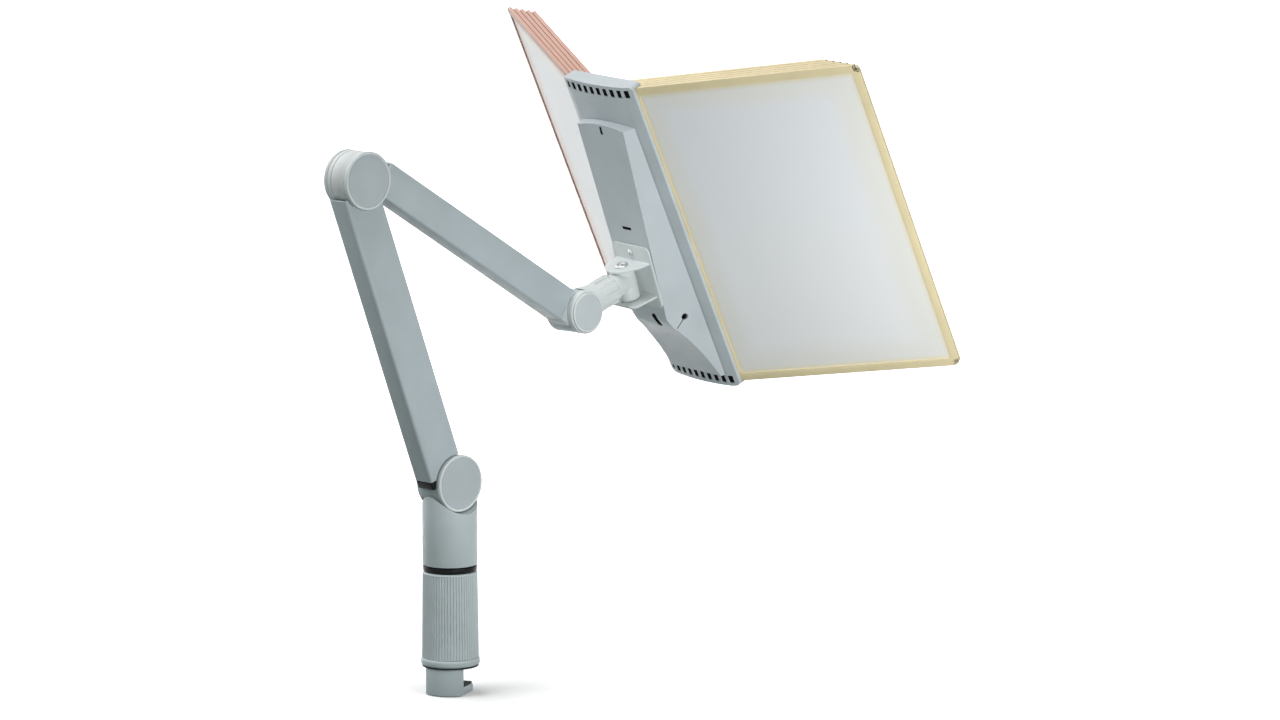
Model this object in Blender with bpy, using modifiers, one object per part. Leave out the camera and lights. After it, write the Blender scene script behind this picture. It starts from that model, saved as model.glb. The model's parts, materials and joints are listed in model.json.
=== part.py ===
"""Reference-panel holder: a desk clamp, a swivel post, a two-link friction arm and a spine of ten leaves.

The origin is on the desk top under the post's axis. +X runs along the desk edge, +Y points over the desk
and +Z is up. Sizes are in metres and angles in degrees. Each moving group hangs on an empty that stands on
its joint's axis, and the pieces are modelled in that empty's own axes.
"""

import math

import bmesh
import bpy
from mathutils import Matrix, Vector

for item in list(bpy.data.objects):
    bpy.data.objects.remove(item, do_unlink=True)

# Fits
SEAT_GAP = 0.0003
WEB_GAP = 0.0004

# Pose of the arm
POST_HEADING = -25.8
SHOULDER_TILT = 20.8
ELBOW_FOLD = -139.1
HEAD_TILT = 137.7
CLEVIS_SWING = -6.6
SPINE_LEAN = 6.2
LEAF_SPREAD = 23.7

# Clamp on the desk edge
PAD_THICKNESS = 0.0012
PAD_MARGIN = 0.001
RING_RADIUS = 0.0265
RING_TOP = 0.0078
RING_ROOF = 0.0015
COLUMN_RADIUS = 0.0075
COLUMN_SEAT = 0.0035
COLUMN_TOP = 0.128
SLEEVE_TOP = 0.0868
SLEEVE_FOOT_RADIUS = 0.026
SLEEVE_HEAD_RADIUS = 0.0248
SLEEVE_BORE = 0.0215
RIB_COUNT = 60
RIB_DEPTH = 0.0006
WEB_WIDTH = 0.034
WEB_FRONT_RADIUS = 0.0245
WEB_BACK = -0.0096
WEB_TOP = 0.0005
JAW_OPENING = 0.0166
JAW_TIP = 0.016
JAW_CORNER = 0.005
JAW_THICKNESS = 0.0065
JAW_PAD_THICKNESS = 0.0014
JAW_PAD_MARGIN = 0.002
STEM_WIDTH = 0.018
STEM_FRONT = -0.0162
STEM_TOP = 0.032
CARRIAGE_HEIGHT = 0.018
CARRIAGE_SLIP = 0.0005
CARRIAGE_SCREW_RADIUS = 0.0016
CARRIAGE_SCREW_HEAD_RADIUS = 0.003
CARRIAGE_SCREW_HEAD = 0.0024
CARRIAGE_SCREW_GRIP = 0.010

# Swivel post
SEAL_RADIUS = 0.024
SEAL_HEIGHT = 0.0056
POST_RADIUS = 0.0249
SHOULDER_HEIGHT = 0.168
SADDLE_RADIUS = 0.0265
SADDLE_PEAK = 0.0105
BUSH_WALL = 0.003
BUSH_TOP = 0.1232
LUG_NECK = 0.024

# Arm hinges
ARM_HALF_WIDTH = 0.01125
TUBE_WALL = 0.002
TUBE_CORNER = 0.003
KNUCKLE_RADIUS = 0.025
EAR_RADIUS = 0.0254
SLOT_RADIUS = 0.026
SCOOP_RADIUS = 0.0264
SLOT_HALF = 0.0065
HINGE_BUSH_WALL = 0.0013
HINGE_FLANGE = 0.0009
HINGE_FLANGE_RADIUS = 0.020
FORK_ROOT = 0.012
FORK_LENGTH = 0.045
PIVOT_RADIUS = 0.005
PIVOT_HEAD_RADIUS = 0.0085
PIVOT_HEAD_HEIGHT = 0.0024
CAP_RADIUS = 0.0258
CAP_HEIGHT = 0.0042
CAP_RIM = 0.0022
CAP_RECESS_RADIUS = 0.0105
CAP_RECESS_DEPTH = 0.003

# Lower arm
LOWER_ARM = 0.301
LOWER_DEPTH = 0.040
LOWER_OFFSET = -0.0083
LOWER_TUBE_END = 0.008
END_TRIM_LOW = 0.007
END_TRIM_HIGH = 0.014

# Upper arm
UPPER_ARM = 0.297
UPPER_DEPTH = 0.031
UPPER_SKEW = -2.95
UPPER_HEAD_RUN = 0.058
UPPER_TUBE_SETBACK = 0.020
UPPER_TUBE_END = 0.037
UPPER_SPIGOT = 0.024
UPPER_SPIGOT_START = 0.029
UPPER_CROSSING = UPPER_ARM - UPPER_HEAD_RUN
HEAD_RADIUS = 0.0196
HEAD_SHOULDER = 0.012

# Neck and rolling knuckle
CHEEK_RADIUS = 0.0199
CHEEK_INNER = 0.0116
CHEEK_OUTER = 0.0174
NECK_SLOT_RADIUS = 0.0204
NECK_CONE_START = 0.010
NECK_CONE_RADIUS = 0.0174
NECK_CONE_END = 0.027
COLLAR_RADIUS = 0.0144
COLLAR_END = 0.0488
FLUTE_COUNT = 12
FLUTE_WIDTH = 0.0024
FLUTE_DEPTH = 0.0012
FLUTE_MARGIN = 0.0018
TILT_PIVOT_RADIUS = 0.004
TILT_HEAD_RADIUS = 0.007
TILT_HEAD_HEIGHT = 0.002
TILT_CAP_RADIUS = 0.0183
TILT_CAP_HEIGHT = 0.0034
TILT_CAP_RECESS_RADIUS = 0.0085
TILT_CAP_RECESS_DEPTH = 0.0024
TILT_SEAT_DEPTH = 0.002
ROLL_BORE = 0.0083
ROLL_WEB = 0.003
ROLL_SCREW_RADIUS = 0.0025
ROLL_SCREW_GRIP = 0.011
ROLL_SCREW_HEAD_RADIUS = 0.006
ROLL_SCREW_HEAD = 0.0028
NECK_REACH = 0.0685
STUB_RADIUS = 0.0126
STUB_TIP_RADIUS = 0.0112
STUB_TAPER = 0.006
BARREL_RADIUS = 0.010

# Clevis
UPPER_EAR_HEIGHT = 0.0123
UPPER_EAR_WIDTH = 0.049
LOWER_EAR_DROP = 0.0190
LOWER_EAR_WIDTH = 0.047
LOWER_EAR_CORNER = 0.006
EAR_THICKNESS = 0.002
EAR_REACH = 0.0145
PLATE_NEAR = 0.0136
PLATE_THICKNESS = 0.002
PLATE_WIDTH = 0.055
PLATE_HIGH = 0.0295
PLATE_CORNER = 0.006
PIN_RADIUS = 0.004
PIN_HEAD_RADIUS = 0.0062
PIN_HEAD_HEIGHT = 0.0012
CLEVIS_SCREW_RADIUS = 0.0018
CLEVIS_SCREW_HEAD_RADIUS = 0.0034
CLEVIS_SCREW_HEAD = 0.0014
CLEVIS_SCREW_GRIP = 0.006
UPPER_SCREW_INSET = 0.0075
LOWER_SCREW_INSET = 0.0058
LOWER_SCREW_ROOM = 0.0018
LOWER_SCREW_DROP = LOWER_EAR_DROP + EAR_THICKNESS + LOWER_SCREW_ROOM + CLEVIS_SCREW_HEAD_RADIUS

# Spine
SPINE_WIDTH = 0.1036
SPINE_HEIGHT = 0.3182
SPINE_BOW = 0.0028
SPINE_CORNER = 0.005
SPINE_RISE = 0.0256
SPINE_BACK = 0.0428
SPINE_WALL = 0.0022
SPINE_SIDE_WALL = 0.0018
SPINE_SIDE_DEPTH = 0.006
SPINE_END_WALL = 0.0027
SPINE_END_DEPTH = 0.014
SPINE_CHAMFER_WIDTH = 0.0098
SPINE_CHAMFER_DEPTH = 0.003
PIVOT_DEPTH = 0.006
PIVOT_SLOT_WIDTH = 0.0058
PIVOT_SLOT_HEIGHT = 0.008
PIVOT_SLOT_INSET = 0.0071

# Raised cover on the spine
COVER_WIDTH = 0.078
COVER_TOP_MARGIN = 0.0377
COVER_ARCH = 0.0045
COVER_DRAFT = 0.42
COVER_WALL = 0.0025
COVER_FACE_END = -0.036
COVER_FOOT_MARGIN = 0.0125
COVER_FOOT_HEIGHT = 0.0016
COVER_SCOOP = 0.006
KEYHOLE_DROP = 0.0085
KEYHOLE_RADIUS = 0.0024
KEYHOLE_NECK_WIDTH = 0.004
KEYHOLE_NECK = 0.0062
COVER_SLOT_HEIGHT = 0.043
COVER_SLOT_WIDTH = 0.0138
COVER_SLOT_THICKNESS = 0.0034
SCOOP_HOLE_RADIUS = 0.0042
SCOOP_HOLE_LENGTH = 0.008
SCOOP_HOLE_DROP = 0.010
SCOOP_HOLE_OFFSET = -0.0055
SIDE_HOLE_RADIUS = 0.003
SIDE_HOLE_HEIGHT = -0.050
SIDE_HOLE_DEPTH = 0.016
COVER_TOP = SPINE_RISE + SPINE_HEIGHT / 2 - COVER_TOP_MARGIN
COVER_FOOT = SPINE_RISE - SPINE_HEIGHT / 2 + COVER_FOOT_MARGIN

# Leaves
LEAF_PITCH = 0.00972
LEAVES_PER_SIDE = 5
LEAF_REACH = 0.2375
LEAF_BACK = 0.0026
LEAF_THICKNESS = 0.0034
LEAF_BORDER = 0.008
LEAF_HINGE_BORDER = 0.0106
LEAF_CORNER = 0.008
LEAF_INNER_CORNER = 0.0012
LEAF_WINDOW_CORNER = 0.003
LEAF_GROOVE = 0.003
LEAF_GROOVE_WIDTH = 0.0022
LEAF_END_GAP = 0.0004
LEAF_PIN_RADIUS = 0.0015
LEAF_PIN_LENGTH = 0.002
LEAF_HEIGHT = SPINE_HEIGHT - (SPINE_END_WALL + LEAF_END_GAP) * 2
POCKET_THICKNESS = 0.0016
POCKET_SLOT = 0.0006
POCKET_SEAM = 0.002
POCKET_MOUTH = 0.006

# Facets
ROUND_SIDES = 32
SMALL_SIDES = 14
PIN_SIDES = 10
CORNER_STEPS = 3

parts = bpy.data.collections.new("panel_holder")
cutters = bpy.data.collections.new("cutters")
bpy.context.scene.collection.children.link(parts)
bpy.context.scene.collection.children.link(cutters)


def finish(name, colour, roughness, metallic=0.0):
    """A plain Principled material."""
    made = bpy.data.materials.new(name)
    made.use_nodes = True
    shader = made.node_tree.nodes["Principled BSDF"]
    shader.inputs["Base Color"].default_value = (*colour, 1.0)
    shader.inputs["Roughness"].default_value = roughness
    shader.inputs["Metallic"].default_value = metallic
    made.diffuse_color = (*colour, 1.0)
    return made


GREY_PLASTIC = finish("grey_plastic", (0.50, 0.55, 0.56), 0.45)
GREY_PAINT = finish("grey_paint", (0.48, 0.53, 0.54), 0.4)
LIGHT_PLASTIC = finish("light_plastic", (0.66, 0.69, 0.70), 0.45)
WHITE_PAINT = finish("white_paint", (0.78, 0.81, 0.80), 0.35)
BLACK_PLASTIC = finish("black_plastic", (0.02, 0.02, 0.02), 0.4)
RUBBER = finish("rubber", (0.03, 0.03, 0.03), 0.8)
STEEL = finish("steel", (0.62, 0.62, 0.62), 0.3, 1.0)
NYLON = finish("nylon", (0.75, 0.74, 0.70), 0.5)
SALMON_FRAME = finish("salmon_frame", (0.82, 0.50, 0.40), 0.45)
YELLOW_FRAME = finish("yellow_frame", (0.93, 0.79, 0.48), 0.45)
POCKET_FILM = finish("pocket_film", (0.78, 0.80, 0.84), 0.35)


def stand(name, parent, location, axis=None, angle=0.0):
    """An empty on a joint's axis, turned about one of its parent's axes."""
    empty = bpy.data.objects.new(name, None)
    parts.objects.link(empty)
    empty.parent = parent
    empty.location = location
    if axis:
        empty.rotation_euler["XYZ".index(axis)] = math.radians(angle)
    return empty


def place(name, mesh, frame, coat):
    """Makes a mesh an object on its frame: a part when it has a coat, else a hidden cutter."""
    made = bpy.data.objects.new(name, mesh)
    made.parent = frame
    if coat:
        parts.objects.link(made)
        mesh.materials.append(coat)
    else:
        cutters.objects.link(made)
        made.hide_render = True
        made.display_type = "WIRE"
    return made


def place_shape(name, shape, frame, coat):
    """Turns a bmesh into an object with its faces pointing out."""
    bmesh.ops.recalc_face_normals(shape, faces=shape.faces)
    mesh = bpy.data.meshes.new(name)
    shape.to_mesh(mesh)
    shape.free()
    mesh.shade_smooth()
    mesh.set_sharp_from_angle(angle=math.radians(35))
    return place(name, mesh, frame, coat)


def block(name, low, high, frame, coat=None):
    """A box between two corners."""
    low, high = Vector(low), Vector(high)
    shape = bmesh.new()
    bmesh.ops.create_cube(shape, size=1.0)
    size = high - low
    bmesh.ops.scale(shape, vec=size, verts=shape.verts)
    bmesh.ops.translate(shape, vec=(low + high) / 2, verts=shape.verts)
    return place_shape(name, shape, frame, coat)


def rod(name, radius, start, end, frame, coat=None, sides=ROUND_SIDES, end_radius=None):
    """A round bar, or a cone when its end has another radius."""
    start, end = Vector(start), Vector(end)
    along = end - start
    turn = Vector((0, 0, 1)).rotation_difference(along).to_matrix().to_4x4()
    shape = bmesh.new()
    bmesh.ops.create_cone(
        shape, cap_ends=True, segments=sides, radius1=radius,
        radius2=radius if end_radius is None else end_radius, depth=along.length,
        matrix=Matrix.Translation((start + end) / 2) @ turn,
    )
    return place_shape(name, shape, frame, coat)


PLANES = {
    "XY": Matrix(((1, 0, 0, 0), (0, 1, 0, 0), (0, 0, 1, 0), (0, 0, 0, 1))),
    "XZ": Matrix(((1, 0, 0, 0), (0, 0, 1, 0), (0, 1, 0, 0), (0, 0, 0, 1))),
    "YZ": Matrix(((0, 0, 1, 0), (1, 0, 0, 0), (0, 1, 0, 0), (0, 0, 0, 1))),
}


def prism(name, outline, start, end, frame, coat=None, plane="XY"):
    """A flat outline drawn in one plane of its frame and extruded across it from start to end."""
    curve = bpy.data.curves.new(name, "CURVE")
    curve.dimensions = "2D"
    curve.fill_mode = "BOTH"
    curve.extrude = (end - start) / 2
    spline = curve.splines.new("POLY")
    spline.points.add(len(outline) - 1)
    for point, (across, up) in zip(spline.points, outline):
        point.co = (across, up, 0, 1)
    spline.use_cyclic_u = True
    drawn = bpy.data.objects.new(name + "_outline", curve)
    bpy.context.scene.collection.objects.link(drawn)
    graph = bpy.context.evaluated_depsgraph_get()
    mesh = bpy.data.meshes.new_from_object(drawn.evaluated_get(graph))
    bpy.data.objects.remove(drawn)
    shape = bmesh.new()
    shape.from_mesh(mesh)
    bmesh.ops.remove_doubles(shape, verts=shape.verts, dist=0.000001)
    bmesh.ops.translate(shape, vec=(0, 0, (start + end) / 2), verts=shape.verts)
    bmesh.ops.transform(shape, matrix=PLANES[plane], verts=shape.verts)
    return place_shape(name, shape, frame, coat)


def turned(name, profile, seat, frame, coat, sides=ROUND_SIDES):
    """A turned profile of (radius, height) points, standing on a seat in its frame."""
    mesh = bpy.data.meshes.new(name)
    corners = [(radius, 0, height) for radius, height in profile]
    rim = [(index, index + 1) for index in range(len(profile) - 1)]
    if profile[0][0] and profile[-1][0]:
        rim.append((len(profile) - 1, 0))
    mesh.from_pydata(corners, rim, [])
    drawn = bpy.data.objects.new(name + "_profile", mesh)
    bpy.context.scene.collection.objects.link(drawn)
    screw = drawn.modifiers.new("turn", "SCREW")
    screw.steps = sides
    screw.render_steps = sides
    screw.use_merge_vertices = True
    screw.merge_threshold = 0.00001
    graph = bpy.context.evaluated_depsgraph_get()
    one = bpy.data.meshes.new_from_object(drawn.evaluated_get(graph))
    bpy.data.objects.remove(drawn)
    shape = bmesh.new()
    shape.from_mesh(one)
    bmesh.ops.remove_doubles(shape, verts=shape.verts, dist=0.000001)
    bmesh.ops.transform(shape, matrix=seat, verts=shape.verts)
    return place_shape(name, shape, frame, coat)


def along_x(offset, facing=1):
    """Stands a turned profile on the X axis, facing one way or the other."""
    return Matrix.Translation((offset, 0, 0)) @ Matrix.Rotation(math.radians(90 * facing), 4, "Y")


def combine(target, operation, others):
    """Adds a Boolean modifier for each of the other shapes."""
    for other in others:
        modifier = target.modifiers.new(other.name, "BOOLEAN")
        modifier.operation = operation
        modifier.object = other
    return target


def cut(target, *others):
    """Takes other shapes away from a piece."""
    return combine(target, "DIFFERENCE", others)


def join(target, *others):
    """Adds other shapes to a piece."""
    return combine(target, "UNION", others)


def arc(centre, radius, start, end, steps):
    """Points on a circle from one angle to another, both ends included."""
    angles = [math.radians(start + (end - start) * step / steps) for step in range(steps + 1)]
    return [(centre[0] + radius * math.cos(a), centre[1] + radius * math.sin(a)) for a in angles]


def rounded(low, high, corners, steps=CORNER_STEPS):
    """A rectangle with round corners: bottom left, bottom right, top right, top left."""
    left, bottom = low
    right, top = high
    first, second, third, fourth = corners
    return (
        arc((left + first, bottom + first), first, 180, 270, steps)
        + arc((right - second, bottom + second), second, 270, 360, steps)
        + arc((right - third, top - third), third, 0, 90, steps)
        + arc((left + fourth, top - fourth), fourth, 90, 180, steps)
    )


def ring_profile(inner, outer, low, high):
    """The profile of a plain turned ring."""
    return [(inner, high), (outer, high), (outer, low), (inner, low)]


def headed_profile(shank, head, head_height, length):
    """The profile of a bolt that hangs from its head's seat at height 0."""
    return [(0, head_height), (head, head_height), (head, 0), (shank, 0), (shank, -length), (0, -length)]


def cap_profile(radius, height, rim, recess_radius, recess_depth):
    """The profile of a round cap with a raised rim, a shallow groove and a hollow for the bolt head."""
    groove = rim / 4
    return [
        (0, height),
        (radius - rim - groove * 2, height - groove),
        (radius - rim - groove, height - groove * 2),
        (radius - rim, height),
        (radius - groove, height),
        (radius, height - groove),
        (radius, 0),
        (recess_radius, 0),
        (recess_radius, recess_depth),
        (0, recess_depth),
    ]


# Stands on the joint axes
post_stand = stand("post_stand", None, (0, 0, 0), "Z", POST_HEADING)
shoulder_stand = stand("shoulder_stand", post_stand, (0, 0, SHOULDER_HEIGHT), "X", SHOULDER_TILT)
elbow_stand = stand("elbow_stand", shoulder_stand, (0, 0, LOWER_ARM), "X", ELBOW_FOLD)
upper_stand = stand("upper_stand", elbow_stand, (0, 0, UPPER_CROSSING), "X", UPPER_SKEW)
head_stand = stand("head_stand", elbow_stand, (0, 0, UPPER_ARM), "X", HEAD_TILT)
clevis_stand = stand("clevis_stand", head_stand, (0, NECK_REACH, 0), "Z", CLEVIS_SWING)
spine_stand = stand("spine_stand", clevis_stand, (0, 0, 0), "X", SPINE_LEAN)


# Clamp
def web_outline(grow):
    """The bracket's plan where it passes the desk edge: flat behind, round in front."""
    half = WEB_WIDTH / 2 + grow
    radius = WEB_FRONT_RADIUS + grow
    reach = math.degrees(math.asin(half / radius))
    back = WEB_BACK + grow
    return [(-half, back)] + arc((0, 0), radius, 270 - reach, 270 + reach, 8) + [(half, back)]


def build_clamp():
    """The foot that stands on the desk, the jaw below it and the sleeve that draws them together."""
    over = RING_TOP * 2
    window = prism("web_window", web_outline(WEB_GAP), -over, RING_TOP - RING_ROOF, None)
    stem_hole = block(
        "stem_hole", (-STEM_WIDTH / 2 - WEB_GAP, STEM_FRONT - WEB_GAP, -over),
        (STEM_WIDTH / 2 + WEB_GAP, WEB_BACK + WEB_GAP, over), None,
    )
    socket = rod("column_socket", COLUMN_RADIUS + SEAT_GAP, (0, 0, COLUMN_SEAT), (0, 0, over), None)
    pad = rod("base_pad", RING_RADIUS - PAD_MARGIN, (0, 0, 0), (0, 0, PAD_THICKNESS), None, RUBBER)
    cut(pad, window)
    ring_low = PAD_THICKNESS + SEAT_GAP
    ring = rod("base_ring", RING_RADIUS, (0, 0, ring_low), (0, 0, RING_TOP), None, GREY_PLASTIC)
    cut(ring, window, stem_hole, socket)
    rod("post_column", COLUMN_RADIUS, (0, 0, COLUMN_SEAT + SEAT_GAP), (0, 0, COLUMN_TOP), None, STEEL)

    jaw_top = -JAW_OPENING - JAW_PAD_THICKNESS - SEAT_GAP
    jaw_low = jaw_top - JAW_THICKNESS
    half = WEB_WIDTH / 2
    front = web_outline(0)[1:-1]
    tip = (
        arc((half - JAW_CORNER, JAW_TIP - JAW_CORNER), JAW_CORNER, 0, 90, CORNER_STEPS)
        + arc((-half + JAW_CORNER, JAW_TIP - JAW_CORNER), JAW_CORNER, 90, 180, CORNER_STEPS)
    )
    bracket = prism("clamp_bracket", front + tip, jaw_low, jaw_top, None, GREY_PLASTIC)
    web = prism("bracket_web", web_outline(0), jaw_low, WEB_TOP, None)
    stem = block(
        "bracket_stem", (-STEM_WIDTH / 2, STEM_FRONT, WEB_TOP - JAW_PAD_THICKNESS),
        (STEM_WIDTH / 2, WEB_BACK, STEM_TOP), None,
    )
    screw_y = (STEM_FRONT + WEB_BACK) / 2
    carriage_low = STEM_TOP + SEAT_GAP
    carriage_top = carriage_low + CARRIAGE_HEIGHT
    screw_end = STEM_TOP - CARRIAGE_SCREW_GRIP
    screw_hole = rod(
        "carriage_screw_hole", CARRIAGE_SCREW_RADIUS + SEAT_GAP, (0, screw_y, screw_end - SEAT_GAP),
        (0, screw_y, carriage_top * 2), None, sides=SMALL_SIDES,
    )
    cut(join(bracket, web, stem), screw_hole)
    block(
        "jaw_pad", (-half + JAW_PAD_MARGIN, WEB_BACK + JAW_PAD_MARGIN, jaw_top + SEAT_GAP),
        (half - JAW_PAD_MARGIN, JAW_TIP - JAW_PAD_MARGIN, -JAW_OPENING), None, RUBBER,
    )
    carriage = rod(
        "carriage_nut", SLEEVE_BORE - SEAT_GAP, (0, 0, carriage_low), (0, 0, carriage_top), None, NYLON,
    )
    guide = rod("carriage_guide", COLUMN_RADIUS + CARRIAGE_SLIP, (0, 0, 0), (0, 0, carriage_top * 2), None)
    cut(carriage, guide, screw_hole)
    screw_top = carriage_top + SEAT_GAP
    profile = headed_profile(
        CARRIAGE_SCREW_RADIUS, CARRIAGE_SCREW_HEAD_RADIUS, CARRIAGE_SCREW_HEAD, screw_top - screw_end,
    )
    turned("carriage_screw", profile, Matrix.Translation((0, screw_y, screw_top)), None, STEEL, SMALL_SIDES)

    ribs = []
    for rib in range(RIB_COUNT):
        start = 360 * rib / RIB_COUNT
        step = 90 / RIB_COUNT
        ribs += arc((0, 0), SLEEVE_FOOT_RADIUS, start, start + step, 1)
        ribs += arc((0, 0), SLEEVE_FOOT_RADIUS - RIB_DEPTH, start + 2 * step, start + 3 * step, 1)
    sleeve_low = RING_TOP + SEAT_GAP
    sleeve = prism("clamp_sleeve", ribs, sleeve_low, SLEEVE_TOP, None, GREY_PLASTIC)
    for vertex in sleeve.data.vertices:
        if vertex.co.z > RING_TOP + SLEEVE_TOP / 2:
            vertex.co.xy *= SLEEVE_HEAD_RADIUS / SLEEVE_FOOT_RADIUS
    cut(sleeve, rod("sleeve_bore", SLEEVE_BORE, (0, 0, 0), (0, 0, SLEEVE_TOP * 2), None))


# Hinge lugs
def lug_sides():
    """Where a hinge lug's two faces lie in its slot: the bush's flange takes up one side."""
    return SEAT_GAP - SLOT_HALF, SLOT_HALF - HINGE_FLANGE - 2 * SEAT_GAP


def lug_hole_radius():
    """The hole in a lug, which takes the hinge's bush."""
    return PIVOT_RADIUS + HINGE_BUSH_WALL + 2 * SEAT_GAP


# Post
def build_post():
    """The swivel post: its column bush, the black ring it turns on and the saddle with the shoulder lug."""
    seal_low = SLEEVE_TOP + SEAT_GAP
    seal_high = seal_low + SEAL_HEIGHT
    hole = COLUMN_RADIUS + SEAT_GAP
    ring = ring_profile(hole, SEAL_RADIUS, seal_low, seal_high)
    turned("swivel_ring", ring, Matrix(), None, BLACK_PLASTIC)
    foot = seal_high + SEAT_GAP
    bush_radius = hole + BUSH_WALL
    bush = ring_profile(hole, bush_radius, foot + SEAT_GAP, BUSH_TOP)
    turned("swivel_bush", bush, Matrix(), post_stand, NYLON)

    axis = SHOULDER_HEIGHT
    peak = axis - SADDLE_PEAK
    post = rod("swivel_post", POST_RADIUS, (0, 0, foot), (0, 0, peak), post_stand, GREY_PLASTIC)
    reach = POST_RADIUS * 2
    saddle = rod("saddle", SADDLE_RADIUS, (-reach, 0, axis), (reach, 0, axis), post_stand)
    lug_low = axis - SADDLE_RADIUS - TUBE_WALL
    left, right = lug_sides()
    neck = block("lug_neck", (left, -LUG_NECK / 2, lug_low), (right, LUG_NECK / 2, axis), post_stand)
    lug = rod("lug_head", KNUCKLE_RADIUS, (left, 0, axis), (right, 0, axis), post_stand)
    pivot = lug_hole_radius()
    left_end, right_end = (-reach, 0, axis), (reach, 0, axis)
    pivot_hole = rod("shoulder_hole", pivot, left_end, right_end, post_stand, sides=SMALL_SIDES)
    bush_bore = rod("bush_bore", bush_radius + SEAT_GAP, (0, 0, 0), (0, 0, BUSH_TOP + SEAT_GAP), post_stand)
    column_bore = rod("column_bore", hole + SEAT_GAP, (0, 0, 0), (0, 0, COLUMN_TOP + SEAT_GAP), post_stand)
    cut(join(cut(post, saddle), neck, lug), pivot_hole, bush_bore, column_bore)


# Hinges of the arm
def tube_outline(depth, offset, inset):
    """An arm tube's section, drawn in by inset: its wall for the hollow, or a little more for a spigot."""
    half = ARM_HALF_WIDTH - inset
    corner = max(TUBE_CORNER - inset, SEAT_GAP)
    return rounded((-half, offset - depth / 2 + inset), (half, offset + depth / 2 - inset), [corner] * 4)


def friction_hinge(name, frame, height):
    """The bolt, nut, flanged bush and round caps of one arm hinge, on the X axis at a height."""
    lift = Matrix.Translation((0, 0, height))
    seat = ARM_HALF_WIDTH + SEAT_GAP
    bolt = headed_profile(PIVOT_RADIUS, PIVOT_HEAD_RADIUS, PIVOT_HEAD_HEIGHT, seat * 2 + PIVOT_HEAD_HEIGHT)
    turned(name + "_bolt", bolt, lift @ along_x(seat), frame, STEEL, SMALL_SIDES)
    nut = ring_profile(PIVOT_RADIUS + SEAT_GAP, PIVOT_HEAD_RADIUS, 0, PIVOT_HEAD_HEIGHT)
    turned(name + "_nut", nut, lift @ along_x(-seat, -1), frame, STEEL, SMALL_SIDES)
    inner = PIVOT_RADIUS + SEAT_GAP
    top = SLOT_HALF - SEAT_GAP
    step = top - HINGE_FLANGE
    bush = [
        (inner, top),
        (HINGE_FLANGE_RADIUS, top),
        (HINGE_FLANGE_RADIUS, step),
        (inner + HINGE_BUSH_WALL, step),
        (inner + HINGE_BUSH_WALL, -top),
        (inner, -top),
    ]
    turned(name + "_bush", bush, lift @ along_x(0), frame, NYLON)
    cap = cap_profile(CAP_RADIUS, CAP_HEIGHT, CAP_RIM, CAP_RECESS_RADIUS, CAP_RECESS_DEPTH)
    turned(name + "_cap_right", cap, lift @ along_x(seat), frame, LIGHT_PLASTIC)
    turned(name + "_cap_left", cap, lift @ along_x(-seat, -1), frame, LIGHT_PLASTIC)


def arm_fork(name, height, heading):
    """A forked end of the lower arm: a spigot in the tube and two ears about the pivot."""
    outline = tube_outline(LOWER_DEPTH, LOWER_OFFSET, TUBE_WALL + SEAT_GAP)
    near, far = sorted((height + heading * FORK_ROOT, height + heading * FORK_LENGTH))
    fork = prism(name, outline, near, far, shoulder_stand, GREY_PLASTIC)
    wide = ARM_HALF_WIDTH

    def on_pivot(label, radius, half, sides=ROUND_SIDES):
        start, end = (-half, 0, height), (half, 0, height)
        return rod(f"{name}_{label}", radius, start, end, shoulder_stand, sides=sides)

    join(fork, on_pivot("ears", EAR_RADIUS, wide))
    cut(fork, on_pivot("slot", SLOT_RADIUS, SLOT_HALF))
    cut(fork, on_pivot("hole", PIVOT_RADIUS + SEAT_GAP, wide * 2, SMALL_SIDES))


def build_lower_arm():
    """The lower arm: a tube with a fork in each end, black trim at its foot and a hinge at each fork."""
    wide = ARM_HALF_WIDTH * 2
    outer = tube_outline(LOWER_DEPTH, LOWER_OFFSET, 0)
    inner = tube_outline(LOWER_DEPTH, LOWER_OFFSET, TUBE_WALL)
    hollow = prism("lower_hollow", inner, -LOWER_ARM, LOWER_ARM * 2, shoulder_stand)
    scoops = [
        rod("lower_scoop", SCOOP_RADIUS, (-wide, 0, z), (wide, 0, z), shoulder_stand)
        for z in (0, LOWER_ARM)
    ]
    low, high = END_TRIM_HIGH + SEAT_GAP, LOWER_ARM - LOWER_TUBE_END
    tube = prism("lower_arm_tube", outer, low, high, shoulder_stand, GREY_PAINT)
    cut(tube, hollow, *scoops)
    trim = prism("lower_arm_end_trim", outer, END_TRIM_LOW, END_TRIM_HIGH, shoulder_stand, BLACK_PLASTIC)
    cut(trim, hollow, scoops[0])
    arm_fork("lower_arm_foot_fork", 0, 1)
    arm_fork("lower_arm_elbow_fork", LOWER_ARM, -1)
    friction_hinge("shoulder", shoulder_stand, 0)
    friction_hinge("elbow", shoulder_stand, LOWER_ARM)


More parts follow.
